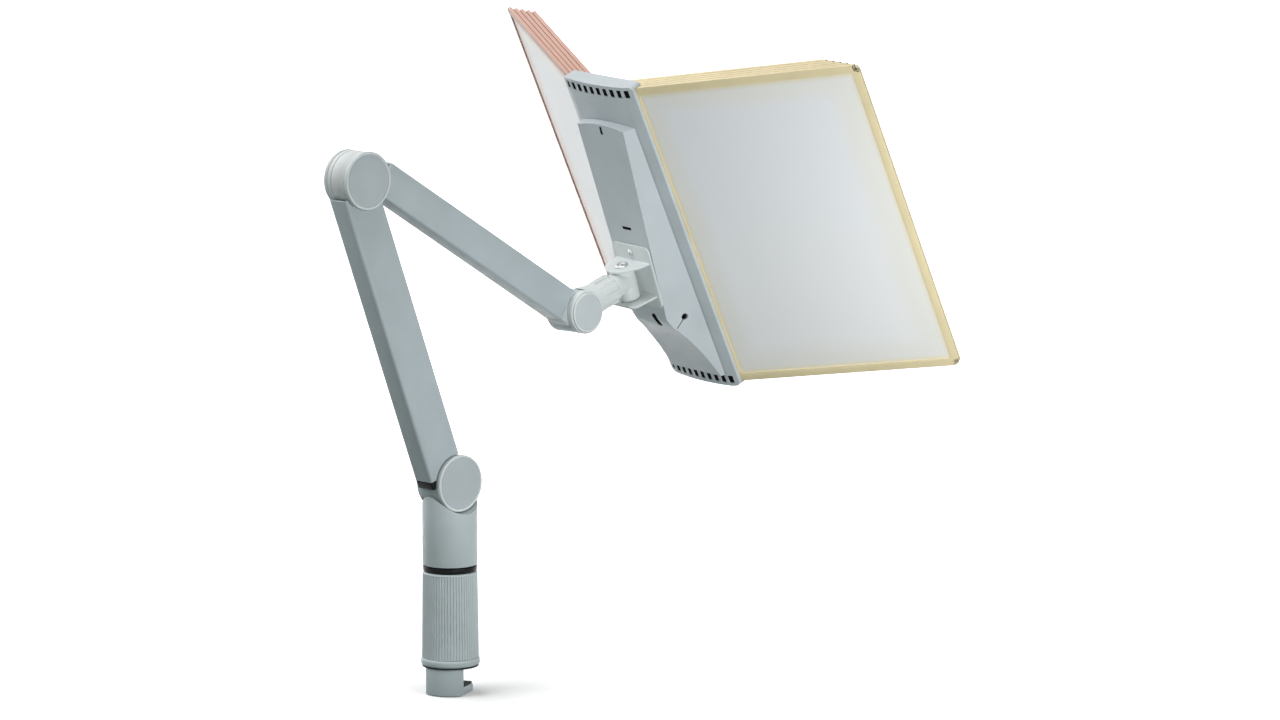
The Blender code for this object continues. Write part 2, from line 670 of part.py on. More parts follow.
def build_upper_arm():
    """The upper arm: a slimmer tube with a drum knuckle at the elbow and a rounded one at the head."""
    wide = ARM_HALF_WIDTH * 2
    outer = tube_outline(UPPER_DEPTH, 0, 0)
    inner = tube_outline(UPPER_DEPTH, 0, TUBE_WALL)
    spigot = tube_outline(UPPER_DEPTH, 0, TUBE_WALL + SEAT_GAP)
    tube_low = UPPER_TUBE_SETBACK - UPPER_CROSSING
    tube = prism("upper_arm_tube", outer, tube_low, UPPER_TUBE_END, upper_stand, GREY_PAINT)
    hollow = prism("upper_hollow", inner, -UPPER_ARM, UPPER_ARM, upper_stand)
    scoop = rod("upper_scoop", SCOOP_RADIUS, (-wide, 0, 0), (wide, 0, 0), elbow_stand)
    cut(tube, hollow, scoop)

    left, right = lug_sides()
    knuckle = rod(
        "upper_arm_elbow_knuckle", KNUCKLE_RADIUS, (left, 0, 0), (right, 0, 0), elbow_stand, GREY_PLASTIC,
    )
    spigot_low = UPPER_SPIGOT_START - UPPER_CROSSING
    half = UPPER_DEPTH / 2 - TUBE_WALL - SEAT_GAP - TUBE_CORNER
    neck_end = spigot_low + UPPER_SPIGOT / 2
    neck = block("elbow_neck", (left, -half, -UPPER_CROSSING), (right, half, neck_end), upper_stand)
    plug = prism("elbow_plug", spigot, spigot_low, spigot_low + UPPER_SPIGOT, upper_stand)
    hole = rod("elbow_hole", lug_hole_radius(), (-wide, 0, 0), (wide, 0, 0), elbow_stand, sides=SMALL_SIDES)
    cut(join(knuckle, neck, plug), hole)

    half = CHEEK_INNER - SEAT_GAP
    head = rod("upper_arm_head_knuckle", HEAD_RADIUS, (-half, 0, 0), (half, 0, 0), head_stand, GREY_PLASTIC)
    shoulder_low = UPPER_TUBE_END + SEAT_GAP
    shoulder = prism("head_shoulder", outer, shoulder_low, shoulder_low + HEAD_SHOULDER, upper_stand)
    plug_low = UPPER_TUBE_END - UPPER_SPIGOT
    head_plug = prism("head_plug", spigot, plug_low, shoulder_low + HEAD_SHOULDER / 2, upper_stand)
    pivot = TILT_PIVOT_RADIUS + SEAT_GAP
    tilt_hole = rod("head_hole", pivot, (-wide, 0, 0), (wide, 0, 0), head_stand, sides=SMALL_SIDES)
    cut(join(head, shoulder, head_plug), tilt_hole)


# Head
def build_neck():
    """The neck: cheeks about the tilt pivot and a fluted collar that the knuckle rolls in."""
    neck = rod(
        "neck_fork", CHEEK_RADIUS, (-CHEEK_OUTER, 0, 0), (CHEEK_OUTER, 0, 0), head_stand, LIGHT_PLASTIC,
    )
    cone = rod(
        "neck_cone", NECK_CONE_RADIUS, (0, NECK_CONE_START, 0), (0, NECK_CONE_END, 0), head_stand,
        end_radius=COLLAR_RADIUS,
    )
    collar_low = NECK_CONE_END - SEAT_GAP * 2
    collar = rod("neck_collar", COLLAR_RADIUS, (0, collar_low, 0), (0, COLLAR_END, 0), head_stand)
    slot = rod("neck_slot", NECK_SLOT_RADIUS, (-CHEEK_INNER, 0, 0), (CHEEK_INNER, 0, 0), head_stand)
    seat_floor = CHEEK_OUTER - TILT_SEAT_DEPTH
    reach = CHEEK_OUTER * 2
    seat_radius = TILT_CAP_RADIUS + SEAT_GAP
    cap_seats = [
        rod("cap_seat", seat_radius, (side * seat_floor, 0, 0), (side * reach, 0, 0), head_stand)
        for side in (1, -1)
    ]
    pivot = TILT_PIVOT_RADIUS + SEAT_GAP
    hole = rod("tilt_hole", pivot, (-reach, 0, 0), (reach, 0, 0), head_stand, sides=SMALL_SIDES)
    screw_seat = NECK_SLOT_RADIUS + ROLL_SCREW_HEAD + SEAT_GAP
    bore_low = screw_seat + ROLL_WEB
    bore = rod("roll_bore", ROLL_BORE, (0, bore_low, 0), (0, COLLAR_END * 2, 0), head_stand)
    counterbore = rod(
        "roll_counterbore", ROLL_SCREW_HEAD_RADIUS + SEAT_GAP, (0, 0, 0), (0, screw_seat, 0), head_stand,
    )
    shank = ROLL_SCREW_RADIUS + SEAT_GAP
    shank_hole = rod("roll_shank_hole", shank, (0, 0, 0), (0, COLLAR_END, 0), head_stand, sides=SMALL_SIDES)
    join(neck, cone, collar)
    cut(neck, slot, *cap_seats, hole, bore, counterbore, shank_hole)
    for flute in range(FLUTE_COUNT):
        groove = block(
            "collar_flute", (-FLUTE_WIDTH / 2, NECK_CONE_END + FLUTE_MARGIN, COLLAR_RADIUS - FLUTE_DEPTH),
            (FLUTE_WIDTH / 2, COLLAR_END - FLUTE_MARGIN, COLLAR_RADIUS * 2), head_stand,
        )
        groove.data.transform(Matrix.Rotation(math.tau * (flute + 0.5) / FLUTE_COUNT, 4, "Y"))
        cut(neck, groove)

    seat = seat_floor + SEAT_GAP
    length = seat * 2 + TILT_HEAD_HEIGHT
    bolt = headed_profile(TILT_PIVOT_RADIUS, TILT_HEAD_RADIUS, TILT_HEAD_HEIGHT, length)
    turned("tilt_bolt", bolt, along_x(seat), head_stand, STEEL, SMALL_SIDES)
    cap = cap_profile(
        TILT_CAP_RADIUS, TILT_CAP_HEIGHT, CAP_RIM / 2, TILT_CAP_RECESS_RADIUS, TILT_CAP_RECESS_DEPTH,
    )
    turned("tilt_cap_right", cap, along_x(seat), head_stand, LIGHT_PLASTIC)
    turned("tilt_cap_left", cap, along_x(-seat, -1), head_stand, LIGHT_PLASTIC)

    screw = headed_profile(
        ROLL_SCREW_RADIUS, ROLL_SCREW_HEAD_RADIUS, ROLL_SCREW_HEAD - SEAT_GAP, ROLL_WEB + ROLL_SCREW_GRIP,
    )
    turn = Matrix.Translation((0, screw_seat - SEAT_GAP, 0)) @ Matrix.Rotation(math.radians(90), 4, "X")
    turned("roll_screw", screw, turn, head_stand, STEEL, SMALL_SIDES)
    return bore_low, shank_hole


def build_knuckle(spigot_low, shank_hole):
    """The knuckle: a spigot that rolls in the collar, a stub and an upright barrel for the clevis pin."""
    stub_low = COLLAR_END + SEAT_GAP
    taper_end = stub_low + STUB_TAPER
    knuckle = rod(
        "roll_knuckle", STUB_RADIUS, (0, stub_low, 0), (0, taper_end, 0), head_stand, LIGHT_PLASTIC,
        end_radius=STUB_TIP_RADIUS,
    )
    spigot_start, spigot_end = (0, spigot_low + SEAT_GAP, 0), (0, stub_low + STUB_TAPER / 2, 0)
    spigot = rod("roll_spigot", ROLL_BORE - SEAT_GAP, spigot_start, spigot_end, head_stand)
    tip = rod("stub_tip", STUB_TIP_RADIUS, (0, taper_end - SEAT_GAP, 0), (0, NECK_REACH, 0), head_stand)
    barrel_low, barrel_high = SEAT_GAP - LOWER_EAR_DROP, UPPER_EAR_HEIGHT - SEAT_GAP
    barrel_foot, barrel_head = (0, NECK_REACH, barrel_low), (0, NECK_REACH, barrel_high)
    barrel = rod("pin_barrel", BARREL_RADIUS, barrel_foot, barrel_head, head_stand)
    pin_start, pin_end = (0, NECK_REACH, barrel_low * 2), (0, NECK_REACH, barrel_high * 2)
    pin_hole = rod("pin_hole", PIN_RADIUS + SEAT_GAP, pin_start, pin_end, head_stand, sides=SMALL_SIDES)
    cut(join(knuckle, spigot, tip, barrel), pin_hole, shank_hole)


def build_clevis():
    """The clevis: a plate bent into a round upper ear and a square lower one, its pin and its screws."""
    near, far = PLATE_NEAR, PLATE_NEAR + PLATE_THICKNESS
    half = PLATE_WIDTH / 2
    plate_low = -LOWER_SCREW_DROP - LOWER_SCREW_INSET
    plate = rounded((-half, plate_low), (half, PLATE_HIGH), [PLATE_CORNER] * 4)
    clevis = prism("clevis_bracket", plate, near, far, clevis_stand, WHITE_PAINT, "XZ")
    bend = (near + far) / 2
    half, deep = UPPER_EAR_WIDTH / 2, bend + EAR_REACH
    round_ear = [(half * x, bend + deep * y) for x, y in arc((0, 0), 1, 180, 360, 16)]
    half, corner = LOWER_EAR_WIDTH / 2, LOWER_EAR_CORNER
    square_ear = (
        arc((corner - half, corner - EAR_REACH), corner, 180, 270, CORNER_STEPS)
        + arc((half - corner, corner - EAR_REACH), corner, 270, 360, CORNER_STEPS)
        + [(half, bend), (-half, bend)]
    )
    high, low = UPPER_EAR_HEIGHT + EAR_THICKNESS, -LOWER_EAR_DROP - EAR_THICKNESS
    join(
        clevis, prism("upper_ear", round_ear, UPPER_EAR_HEIGHT, high, clevis_stand),
        prism("lower_ear", square_ear, low, -LOWER_EAR_DROP, clevis_stand),
    )
    pin = PIN_RADIUS + SEAT_GAP
    pin_way = rod("ear_hole", pin, (0, 0, low * 2), (0, 0, high * 2), clevis_stand, sides=SMALL_SIDES)
    heights = (PLATE_HIGH - UPPER_SCREW_INSET, -LOWER_SCREW_DROP)
    hole = CLEVIS_SCREW_RADIUS + SEAT_GAP
    screw_holes = [
        rod("clevis_screw_hole", hole, (0, near / 2, z), (0, near * 2, z), clevis_stand, sides=SMALL_SIDES)
        for z in heights
    ]
    cut(clevis, pin_way, *screw_holes)

    top, foot = high + SEAT_GAP, low - SEAT_GAP
    pin = [
        (0, top + PIN_HEAD_HEIGHT), (PIN_HEAD_RADIUS, top + PIN_HEAD_HEIGHT), (PIN_HEAD_RADIUS, top),
        (PIN_RADIUS, top), (PIN_RADIUS, foot), (PIN_HEAD_RADIUS, foot),
        (PIN_HEAD_RADIUS, foot - PIN_HEAD_HEIGHT), (0, foot - PIN_HEAD_HEIGHT),
    ]
    turned("clevis_pin", pin, Matrix(), clevis_stand, STEEL)
    length = PLATE_THICKNESS + CLEVIS_SCREW_GRIP
    screw = headed_profile(CLEVIS_SCREW_RADIUS, CLEVIS_SCREW_HEAD_RADIUS, CLEVIS_SCREW_HEAD, length)
    for label, z in zip(("upper", "lower"), heights):
        seat = Matrix.Translation((0, PLATE_NEAR - SEAT_GAP, z)) @ Matrix.Rotation(math.radians(90), 4, "X")
        turned(f"clevis_screw_{label}", screw, seat, clevis_stand, STEEL, SMALL_SIDES)
    return screw_holes


# Spine
def leaf_places():
    """Each leaf's side and its pivot's distance from the spine's middle, from far left to far right."""
    for order in range(LEAVES_PER_SIDE * 2):
        offset = (order - LEAVES_PER_SIDE + 0.5) * LEAF_PITCH
        yield (-1 if offset < 0 else 1), offset


def spine_bow(shift):
    """The spine's bowed back in plan, between its two bevelled edges, moved away from the clevis by shift."""
    reach = SPINE_WIDTH / 2 - SPINE_CHAMFER_WIDTH
    shares = [step / 5 - 1 for step in range(11)]
    return [(reach * share, SPINE_BACK + shift - SPINE_BOW * (1 - share ** 2)) for share in shares]


def build_spine():
    """The spine: a shallow bowed tray with a slot and a pin hole at each end of every leaf."""
    half = SPINE_WIDTH / 2
    tall = SPINE_HEIGHT / 2
    back, front = SPINE_BACK, SPINE_BACK + SPINE_END_DEPTH
    crest = back - SPINE_BOW
    outline = rounded((-half, SPINE_RISE - tall), (half, SPINE_RISE + tall), [SPINE_CORNER] * 4)
    spine = prism("spine_shell", outline, crest, front, spine_stand, GREY_PLASTIC, "XZ")
    lip = SPINE_WALL
    edge = back + SPINE_CHAMFER_DEPTH
    behind = [(-half - lip, edge), (-half, edge)] + spine_bow(0) + [(half, edge), (half + lip, edge)]
    behind += [(half + lip, crest - lip), (-half - lip, crest - lip)]
    cut(spine, prism("spine_back", behind, SPINE_RISE - SPINE_HEIGHT, SPINE_RISE + SPINE_HEIGHT, spine_stand))
    floor = back + SPINE_WALL
    inside = half - SPINE_SIDE_WALL
    hollow = spine_bow(SPINE_WALL) + [
        (inside, floor + SPINE_CHAMFER_DEPTH), (inside, front * 2),
        (-inside, front * 2), (-inside, floor + SPINE_CHAMFER_DEPTH),
    ]
    room = LEAF_HEIGHT / 2 + LEAF_END_GAP
    cut(spine, prism("spine_hollow", hollow, SPINE_RISE - room, SPINE_RISE + room, spine_stand))
    cut(spine, block(
        "spine_opening", (-half * 2, back + SPINE_SIDE_DEPTH, SPINE_RISE - room),
        (half * 2, front * 2, SPINE_RISE + room), spine_stand,
    ))
    pivot = back + PIVOT_DEPTH
    pin_reach = LEAF_HEIGHT / 2 + LEAF_PIN_LENGTH + SEAT_GAP
    slot_middle = SPINE_HEIGHT / 2 - PIVOT_SLOT_INSET
    for _, x in leaf_places():
        for end in (1, -1):
            middle = SPINE_RISE + end * slot_middle
            cut(spine, block(
                "pivot_slot", (x - PIVOT_SLOT_WIDTH / 2, crest - lip, middle - PIVOT_SLOT_HEIGHT / 2),
                (x + PIVOT_SLOT_WIDTH / 2, floor + lip / 2, middle + PIVOT_SLOT_HEIGHT / 2), spine_stand,
            ))
            hole_start = (x, pivot, SPINE_RISE + end * (room - LEAF_PIN_LENGTH))
            hole_end = (x, pivot, SPINE_RISE + end * pin_reach)
            hole = LEAF_PIN_RADIUS + SEAT_GAP
            cut(spine, rod("leaf_pin_hole", hole, hole_start, hole_end, spine_stand, sides=PIN_SIDES))


def cover_form(name, inset, coat=None):
    """The cover's wedge, drawn in by inset: side profile, drafted flanks and an arched top."""
    base = SPINE_BACK - SEAT_GAP + (COVER_WALL * 2 if inset else 0)
    lean = math.radians(SPINE_LEAN)
    face = PLATE_NEAR + PLATE_THICKNESS + SEAT_GAP + inset

    def face_depth(z):
        return (face + z * math.sin(lean)) / math.cos(lean)

    crown = COVER_TOP * 1.1
    start = Vector((face_depth(COVER_FACE_END), COVER_FACE_END))
    foot = SPINE_BACK - SPINE_BOW - COVER_FOOT_HEIGHT
    end = Vector((foot + inset, COVER_FOOT + inset * 2))
    run = end - start
    normal = Vector((-run.y, run.x)).normalized()
    scoop = []
    for step in range(9):
        share = step / 8
        bow = COVER_SCOOP * 4 * share * (1 - share)
        scoop.append(tuple(start + run * share + normal * bow))
    side_view = [(base, crown), (face_depth(crown), crown)] + scoop + [(base, scoop[-1][1])]
    half = COVER_WIDTH / 2 - inset
    form = prism(name, side_view, -COVER_WIDTH, COVER_WIDTH, spine_stand, coat, "YZ")
    height = SPINE_BACK * 2
    deep = SPINE_BACK - SEAT_GAP
    for side in (1, -1):
        flank = [
            (side * half, deep + height),
            (side * half, deep),
            (side * (half - COVER_DRAFT * height), deep - height),
            (side * COVER_WIDTH * 2, deep - height),
            (side * COVER_WIDTH * 2, deep + height),
        ]
        cut(form, prism(name + "_flank", flank, COVER_FOOT * 2, COVER_TOP * 2, spine_stand))
    stations = [COVER_WIDTH / 2 * (step / 4 - 1) * 1.2 for step in range(9)]
    arch = [(x, COVER_TOP - inset - COVER_ARCH * (2 * x / COVER_WIDTH) ** 2) for x in stations]
    arch += [(stations[-1], COVER_TOP * 2), (stations[0], COVER_TOP * 2)]
    cut(form, prism(name + "_arch", arch, -height, height, spine_stand, plane="XZ"))
    return form


def build_cover(screw_holes):
    """The raised cover: a hollow wedge with wall-mount keyholes, screwed to the clevis."""
    cover = cover_form("spine_cover", 0, GREY_PLASTIC)
    cut(cover, cover_form("cover_hollow", COVER_WALL))
    deep = SPINE_BACK * 2
    keyhole = COVER_TOP - KEYHOLE_DROP
    cut(cover, rod(
        "keyhole", KEYHOLE_RADIUS, (0, 0, keyhole), (0, deep, keyhole), spine_stand, sides=SMALL_SIDES,
    ))
    half = KEYHOLE_NECK_WIDTH / 2
    neck_top = keyhole + KEYHOLE_NECK
    cut(cover, block("keyhole_neck", (-half, 0, keyhole), (half, deep, neck_top), spine_stand))
    half = COVER_SLOT_WIDTH / 2
    slot_low = COVER_SLOT_HEIGHT - COVER_SLOT_THICKNESS / 2
    slot_high = COVER_SLOT_HEIGHT + COVER_SLOT_THICKNESS / 2
    cut(cover, block("cover_slot", (-half, 0, slot_low), (half, deep, slot_high), spine_stand))
    hole_high = COVER_FACE_END - SCOOP_HOLE_DROP
    outline = arc((SCOOP_HOLE_OFFSET, hole_high), SCOOP_HOLE_RADIUS, 0, 180, 6)
    outline += arc((SCOOP_HOLE_OFFSET, hole_high - SCOOP_HOLE_LENGTH), SCOOP_HOLE_RADIUS, 180, 360, 6)
    cut(cover, prism("scoop_hole", outline, 0, SPINE_BACK, spine_stand, plane="XZ"))
    side_y = SPINE_BACK - SIDE_HOLE_DEPTH
    hole_start, hole_end = (0, side_y, SIDE_HOLE_HEIGHT), (COVER_WIDTH, side_y, SIDE_HOLE_HEIGHT)
    cut(cover, rod("side_hole", SIDE_HOLE_RADIUS, hole_start, hole_end, spine_stand, sides=SMALL_SIDES))
    bow = spine_bow(-SEAT_GAP)
    seat = bow + [(bow[-1][0], deep), (bow[0][0], deep)]
    cut(cover, *screw_holes, prism("cover_seat", seat, COVER_FOOT * 2, COVER_TOP * 2, spine_stand))


# Leaves
def leaf_outline(side, grow):
    """The leaf's window drawn out by grow, on the left or the right side of the spine."""
    low = (LEAF_HINGE_BORDER - LEAF_BACK - grow, LEAF_BORDER - LEAF_HEIGHT / 2 - grow)
    high = (LEAF_REACH - LEAF_BORDER + grow, LEAF_HEIGHT / 2 - LEAF_BORDER + grow)
    return [(side * x, z) for x, z in rounded(low, high, [LEAF_WINDOW_CORNER] * 4)]


def build_leaf(number, side, offset):
    """One leaf: a moulded frame on two pins, with a clear pocket that is open below the top bar."""
    name = f"leaf_{number:02d}"
    pivot = (offset, SPINE_BACK + PIVOT_DEPTH, SPINE_RISE)
    hinge = stand(name + "_stand", spine_stand, pivot, "Z", side * LEAF_SPREAD)
    half = LEAF_HEIGHT / 2
    corners = [LEAF_INNER_CORNER, LEAF_CORNER, LEAF_CORNER, LEAF_INNER_CORNER]
    outer = [(side * x, z) for x, z in rounded((-LEAF_BACK, -half), (LEAF_REACH, half), corners)]
    thick = LEAF_THICKNESS / 2
    coat = SALMON_FRAME if side < 0 else YELLOW_FRAME
    frame = prism(name + "_frame", outer, -thick, thick, hinge, coat, "XZ")
    window = prism(name + "_window", leaf_outline(side, 0), -thick * 2, thick * 2, hinge, plane="XZ")
    deep = LEAF_GROOVE_WIDTH / 2
    groove = prism(name + "_groove", leaf_outline(side, LEAF_GROOVE), -deep, deep, hinge, plane="XZ")
    cut(frame, window, groove)
    for end in (1, -1):
        root, tip = end * (half - LEAF_PIN_LENGTH), end * (half + LEAF_PIN_LENGTH)
        join(frame, rod(name + "_pin", LEAF_PIN_RADIUS, (0, 0, root), (0, 0, tip), hinge, sides=PIN_SIDES))

    film = POCKET_THICKNESS / 2
    pocket = prism(
        name + "_pocket", leaf_outline(side, LEAF_GROOVE - SEAT_GAP), -film, film, hinge, POCKET_FILM, "XZ",
    )
    room = POCKET_SLOT / 2
    slot = prism(name + "_sheet_room", leaf_outline(side, -POCKET_SEAM), -room, room, hinge, plane="XZ")
    top = half - LEAF_BORDER - POCKET_SEAM
    near, far = LEAF_HINGE_BORDER + POCKET_SEAM, LEAF_REACH - LEAF_BORDER - POCKET_SEAM
    left, right = sorted((side * near, side * far))
    mouth = block(name + "_mouth", (left, 0, top - POCKET_MOUTH), (right, film * 2, top), hinge)
    cut(pocket, slot, mouth)


build_clamp()
build_post()
build_lower_arm()
build_upper_arm()
spigot_floor, screw_way = build_neck()
build_knuckle(spigot_floor, screw_way)
build_spine()
build_cover(build_clevis())
for leaf_number, (leaf_side, pivot_offset) in enumerate(leaf_places(), start=1):
    build_leaf(leaf_number, leaf_side, pivot_offset)
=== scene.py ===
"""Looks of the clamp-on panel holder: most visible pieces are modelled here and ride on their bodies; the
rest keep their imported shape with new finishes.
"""

import json
import math

import bmesh
import bpy
from mathutils import Matrix, Vector


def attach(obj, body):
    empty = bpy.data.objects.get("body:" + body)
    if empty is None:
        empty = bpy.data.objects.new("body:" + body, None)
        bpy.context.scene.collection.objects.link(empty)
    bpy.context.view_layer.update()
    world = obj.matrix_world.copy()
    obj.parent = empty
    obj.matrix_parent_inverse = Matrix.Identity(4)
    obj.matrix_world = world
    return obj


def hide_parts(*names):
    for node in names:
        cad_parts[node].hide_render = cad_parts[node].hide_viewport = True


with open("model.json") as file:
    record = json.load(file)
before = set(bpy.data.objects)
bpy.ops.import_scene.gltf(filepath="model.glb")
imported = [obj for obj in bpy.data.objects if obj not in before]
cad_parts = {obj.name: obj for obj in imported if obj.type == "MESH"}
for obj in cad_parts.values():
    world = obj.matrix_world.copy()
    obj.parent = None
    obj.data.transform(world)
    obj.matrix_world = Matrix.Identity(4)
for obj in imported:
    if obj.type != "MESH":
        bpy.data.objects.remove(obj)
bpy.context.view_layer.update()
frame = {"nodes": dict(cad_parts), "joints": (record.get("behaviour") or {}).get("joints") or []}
bpy.ops.object.select_all(action="DESELECT")


# Foot ring: the grey moulded disc that stands on the desk, with a rubber pad glued under it.
# It is turned with a stepped edge. A window from below lets the bracket's web rise into it, and the
# steel column is pressed into the socket in its top.
RING_RADIUS = 0.0265
RING_LOW, RING_HIGH = 0.0015, 0.0078
COLUMN_SOCKET, SOCKET_FLOOR = 0.0078, 0.0035
WEB_WAY_RADIUS, WEB_WAY_TOP = 0.0249, 0.0063
WEB_WAY_SIDE, WEB_WAY_BACK = 0.0174, -0.0092
STEM_WAY_SIDE, STEM_WAY_FRONT = 0.0094, -0.0166
BELOW_RING, ABOVE_RING = -0.01, 0.02


def lathe(rings, sides=96, hollow=False):
    """Draws a circle and extrudes it ring by ring; each ring is a height and a radius."""
    height, radius = rings[0]
    fill = "NOTHING" if hollow else "NGON"
    bpy.ops.mesh.primitive_circle_add(vertices=sides, radius=radius, fill_type=fill, enter_editmode=True)
    bpy.ops.mesh.select_mode(type="VERT")
    bpy.ops.mesh.select_all(action="SELECT")
    bpy.ops.transform.translate(value=(0, 0, height))
    for next_height, next_radius in rings[1:]:
        bpy.ops.mesh.extrude_region_move(TRANSFORM_OT_translate={"value": (0, 0, next_height - height)})
        scale = next_radius / radius
        bpy.ops.transform.resize(value=(scale, scale, 1), center_override=(0, 0, next_height))
        height, radius = next_height, next_radius
    bpy.ops.mesh.select_all(action="SELECT")
    bpy.ops.mesh.remove_doubles(threshold=1e-6)
    bpy.ops.mesh.normals_make_consistent(inside=False)
    bpy.ops.object.mode_set(mode="OBJECT")
    return bpy.context.object


def only(piece):
    """Leaves one piece selected and active."""
    bpy.ops.object.select_all(action="DESELECT")
    piece.select_set(True)
    bpy.context.view_layer.objects.active = piece
    return piece


def settle(piece, place=Matrix()):
    """Puts a piece at its place and moves that place into its mesh."""
    only(piece)
    bpy.context.view_layer.update()
    piece.matrix_world = place @ piece.matrix_world
    bpy.ops.object.transform_apply(location=True, rotation=True, scale=True)
    return piece


def pillar(radius, low, high, axis="Z", middle=(0, 0, 0), sides=96):
    """A round bar between two places along an axis through middle."""
    turn = {"X": (0, math.pi / 2, 0), "Y": (math.pi / 2, 0, 0), "Z": (0, 0, 0)}[axis]
    centre = Vector(middle)
    centre["XYZ".index(axis)] += (low + high) / 2
    bpy.ops.mesh.primitive_cylinder_add(
        vertices=sides, radius=radius, depth=high - low, location=centre, rotation=turn,
    )
    return settle(bpy.context.object)


def slab(low, high):
    """A block between two corners."""
    middle = [(a + b) / 2 for a, b in zip(low, high)]
    bpy.ops.mesh.primitive_cube_add(size=1, location=middle)
    bpy.context.object.scale = [b - a for a, b in zip(low, high)]
    return settle(bpy.context.object)


def pick(piece, kind, chosen):
    """Goes into edit mode with only the chosen vertices, edges or faces selected."""
    only(piece)
    bpy.ops.object.mode_set(mode="EDIT")
    bpy.ops.mesh.select_mode(type={"verts": "VERT", "edges": "EDGE", "faces": "FACE"}[kind])
    bpy.ops.mesh.select_all(action="DESELECT")
    mesh = bmesh.from_edit_mesh(piece.data)
    for element in getattr(mesh, kind):
        if chosen(element):
            element.select_set(True)
    mesh.select_flush_mode()
    bmesh.update_edit_mesh(piece.data)


def done():
    """Leaves edit mode."""
    bpy.ops.object.mode_set(mode="OBJECT")


def trim(piece, point, normal):
    """Saws off what lies beyond a plane and closes the cut."""
    pick(piece, "faces", lambda face: True)
    bpy.ops.mesh.bisect(plane_co=point, plane_no=normal, use_fill=True, clear_outer=True)
    done()
    return piece


def fuse(piece, *others, operation="UNION"):
    """Joins other solids to a piece, or cuts them out of it, and clears them away."""
    for other in others:
        only(piece)
        tool = piece.modifiers.new("fuse", "BOOLEAN")
        tool.operation, tool.solver, tool.object = operation, "EXACT", other
        bpy.ops.object.modifier_apply(modifier=tool.name)
        bpy.data.objects.remove(other)
    return piece


def carve(piece, *cutters):
    """Cuts other solids out of a piece."""
    return fuse(piece, *cutters, operation="DIFFERENCE")


def web_block(radius, low, high, side, back):
    """A round bar sawn flat at both sides and at the back."""
    made = pillar(radius, low, high)
    trim(made, (side, 0, 0), (1, 0, 0))
    trim(made, (-side, 0, 0), (-1, 0, 0))
    return trim(made, (0, back, 0), (0, 1, 0))


CLOUD_LOW, CLOUD_HIGH = 0.3, 0.7
# Edges are painted paler: partly rubbed wear, partly a painted highlight where they catch the light.
WEAR_AND_HIGHLIGHT_RADIUS, WEAR_AND_HIGHLIGHT_START, WEAR_AND_HIGHLIGHT_FULL, WEAR_AND_HIGHLIGHT_PALER = 0.0011, 0.985, 0.86, 0.55
GLOSSIER, DULLER = 0.06, 0.07
GRAIN_HEIGHT = 0.0004


def fresh_finish(name):
    """A new material with its node tree and its shader."""
    made = bpy.data.materials.new(name)
    made.use_nodes = True
    return made, made.node_tree, made.node_tree.nodes["Principled BSDF"]


def noise(tree, place, scale, detail):
    """Soft noise over a place, from 0 to 1."""
    made = tree.nodes.new("ShaderNodeTexNoise")
    made.inputs["Scale"].default_value, made.inputs["Detail"].default_value = scale, detail
    tree.links.new(place, made.inputs["Vector"])
    return made.outputs["Fac"]


def ramp(tree, value, start, end, low=0.0, high=1.0, kind="LINEAR"):
    """Runs from low to high as a value runs from start to end."""
    step = tree.nodes.new("ShaderNodeMapRange")
    step.interpolation_type = kind
    for socket, number in (("From Min", start), ("From Max", end), ("To Min", low), ("To Max", high)):
        step.inputs[socket].default_value = number
    tree.links.new(value, step.inputs["Value"])
    return step.outputs["Result"]


def reckon(tree, operation, first, second):
    """One step of arithmetic on two numbers or sockets."""
    step = tree.nodes.new("ShaderNodeMath")
    step.operation = operation
    for socket, value in zip(step.inputs, (first, second)):
        if isinstance(value, (int, float)):
            socket.default_value = value
        else:
            tree.links.new(value, socket)
    return step.outputs["Value"]


def blend(tree, share, first, second):
    """A mix of two colours or sockets."""
    step = tree.nodes.new("ShaderNodeMix")
    step.data_type = "RGBA"
    tree.links.new(share, step.inputs["Factor"])
    for socket, value in ((step.inputs["A"], first), (step.inputs["B"], second)):
        if isinstance(value, tuple):
            socket.default_value = (*value, 1)
        else:
            tree.links.new(value, socket)
    return step.outputs["Result"]


def bump(tree, height, strength, distance):
    """A fine relief, as a normal."""
    made = tree.nodes.new("ShaderNodeBump")
    made.inputs["Strength"].default_value, made.inputs["Distance"].default_value = strength, distance
    tree.links.new(height, made.inputs["Height"])
    return made.outputs["Normal"]


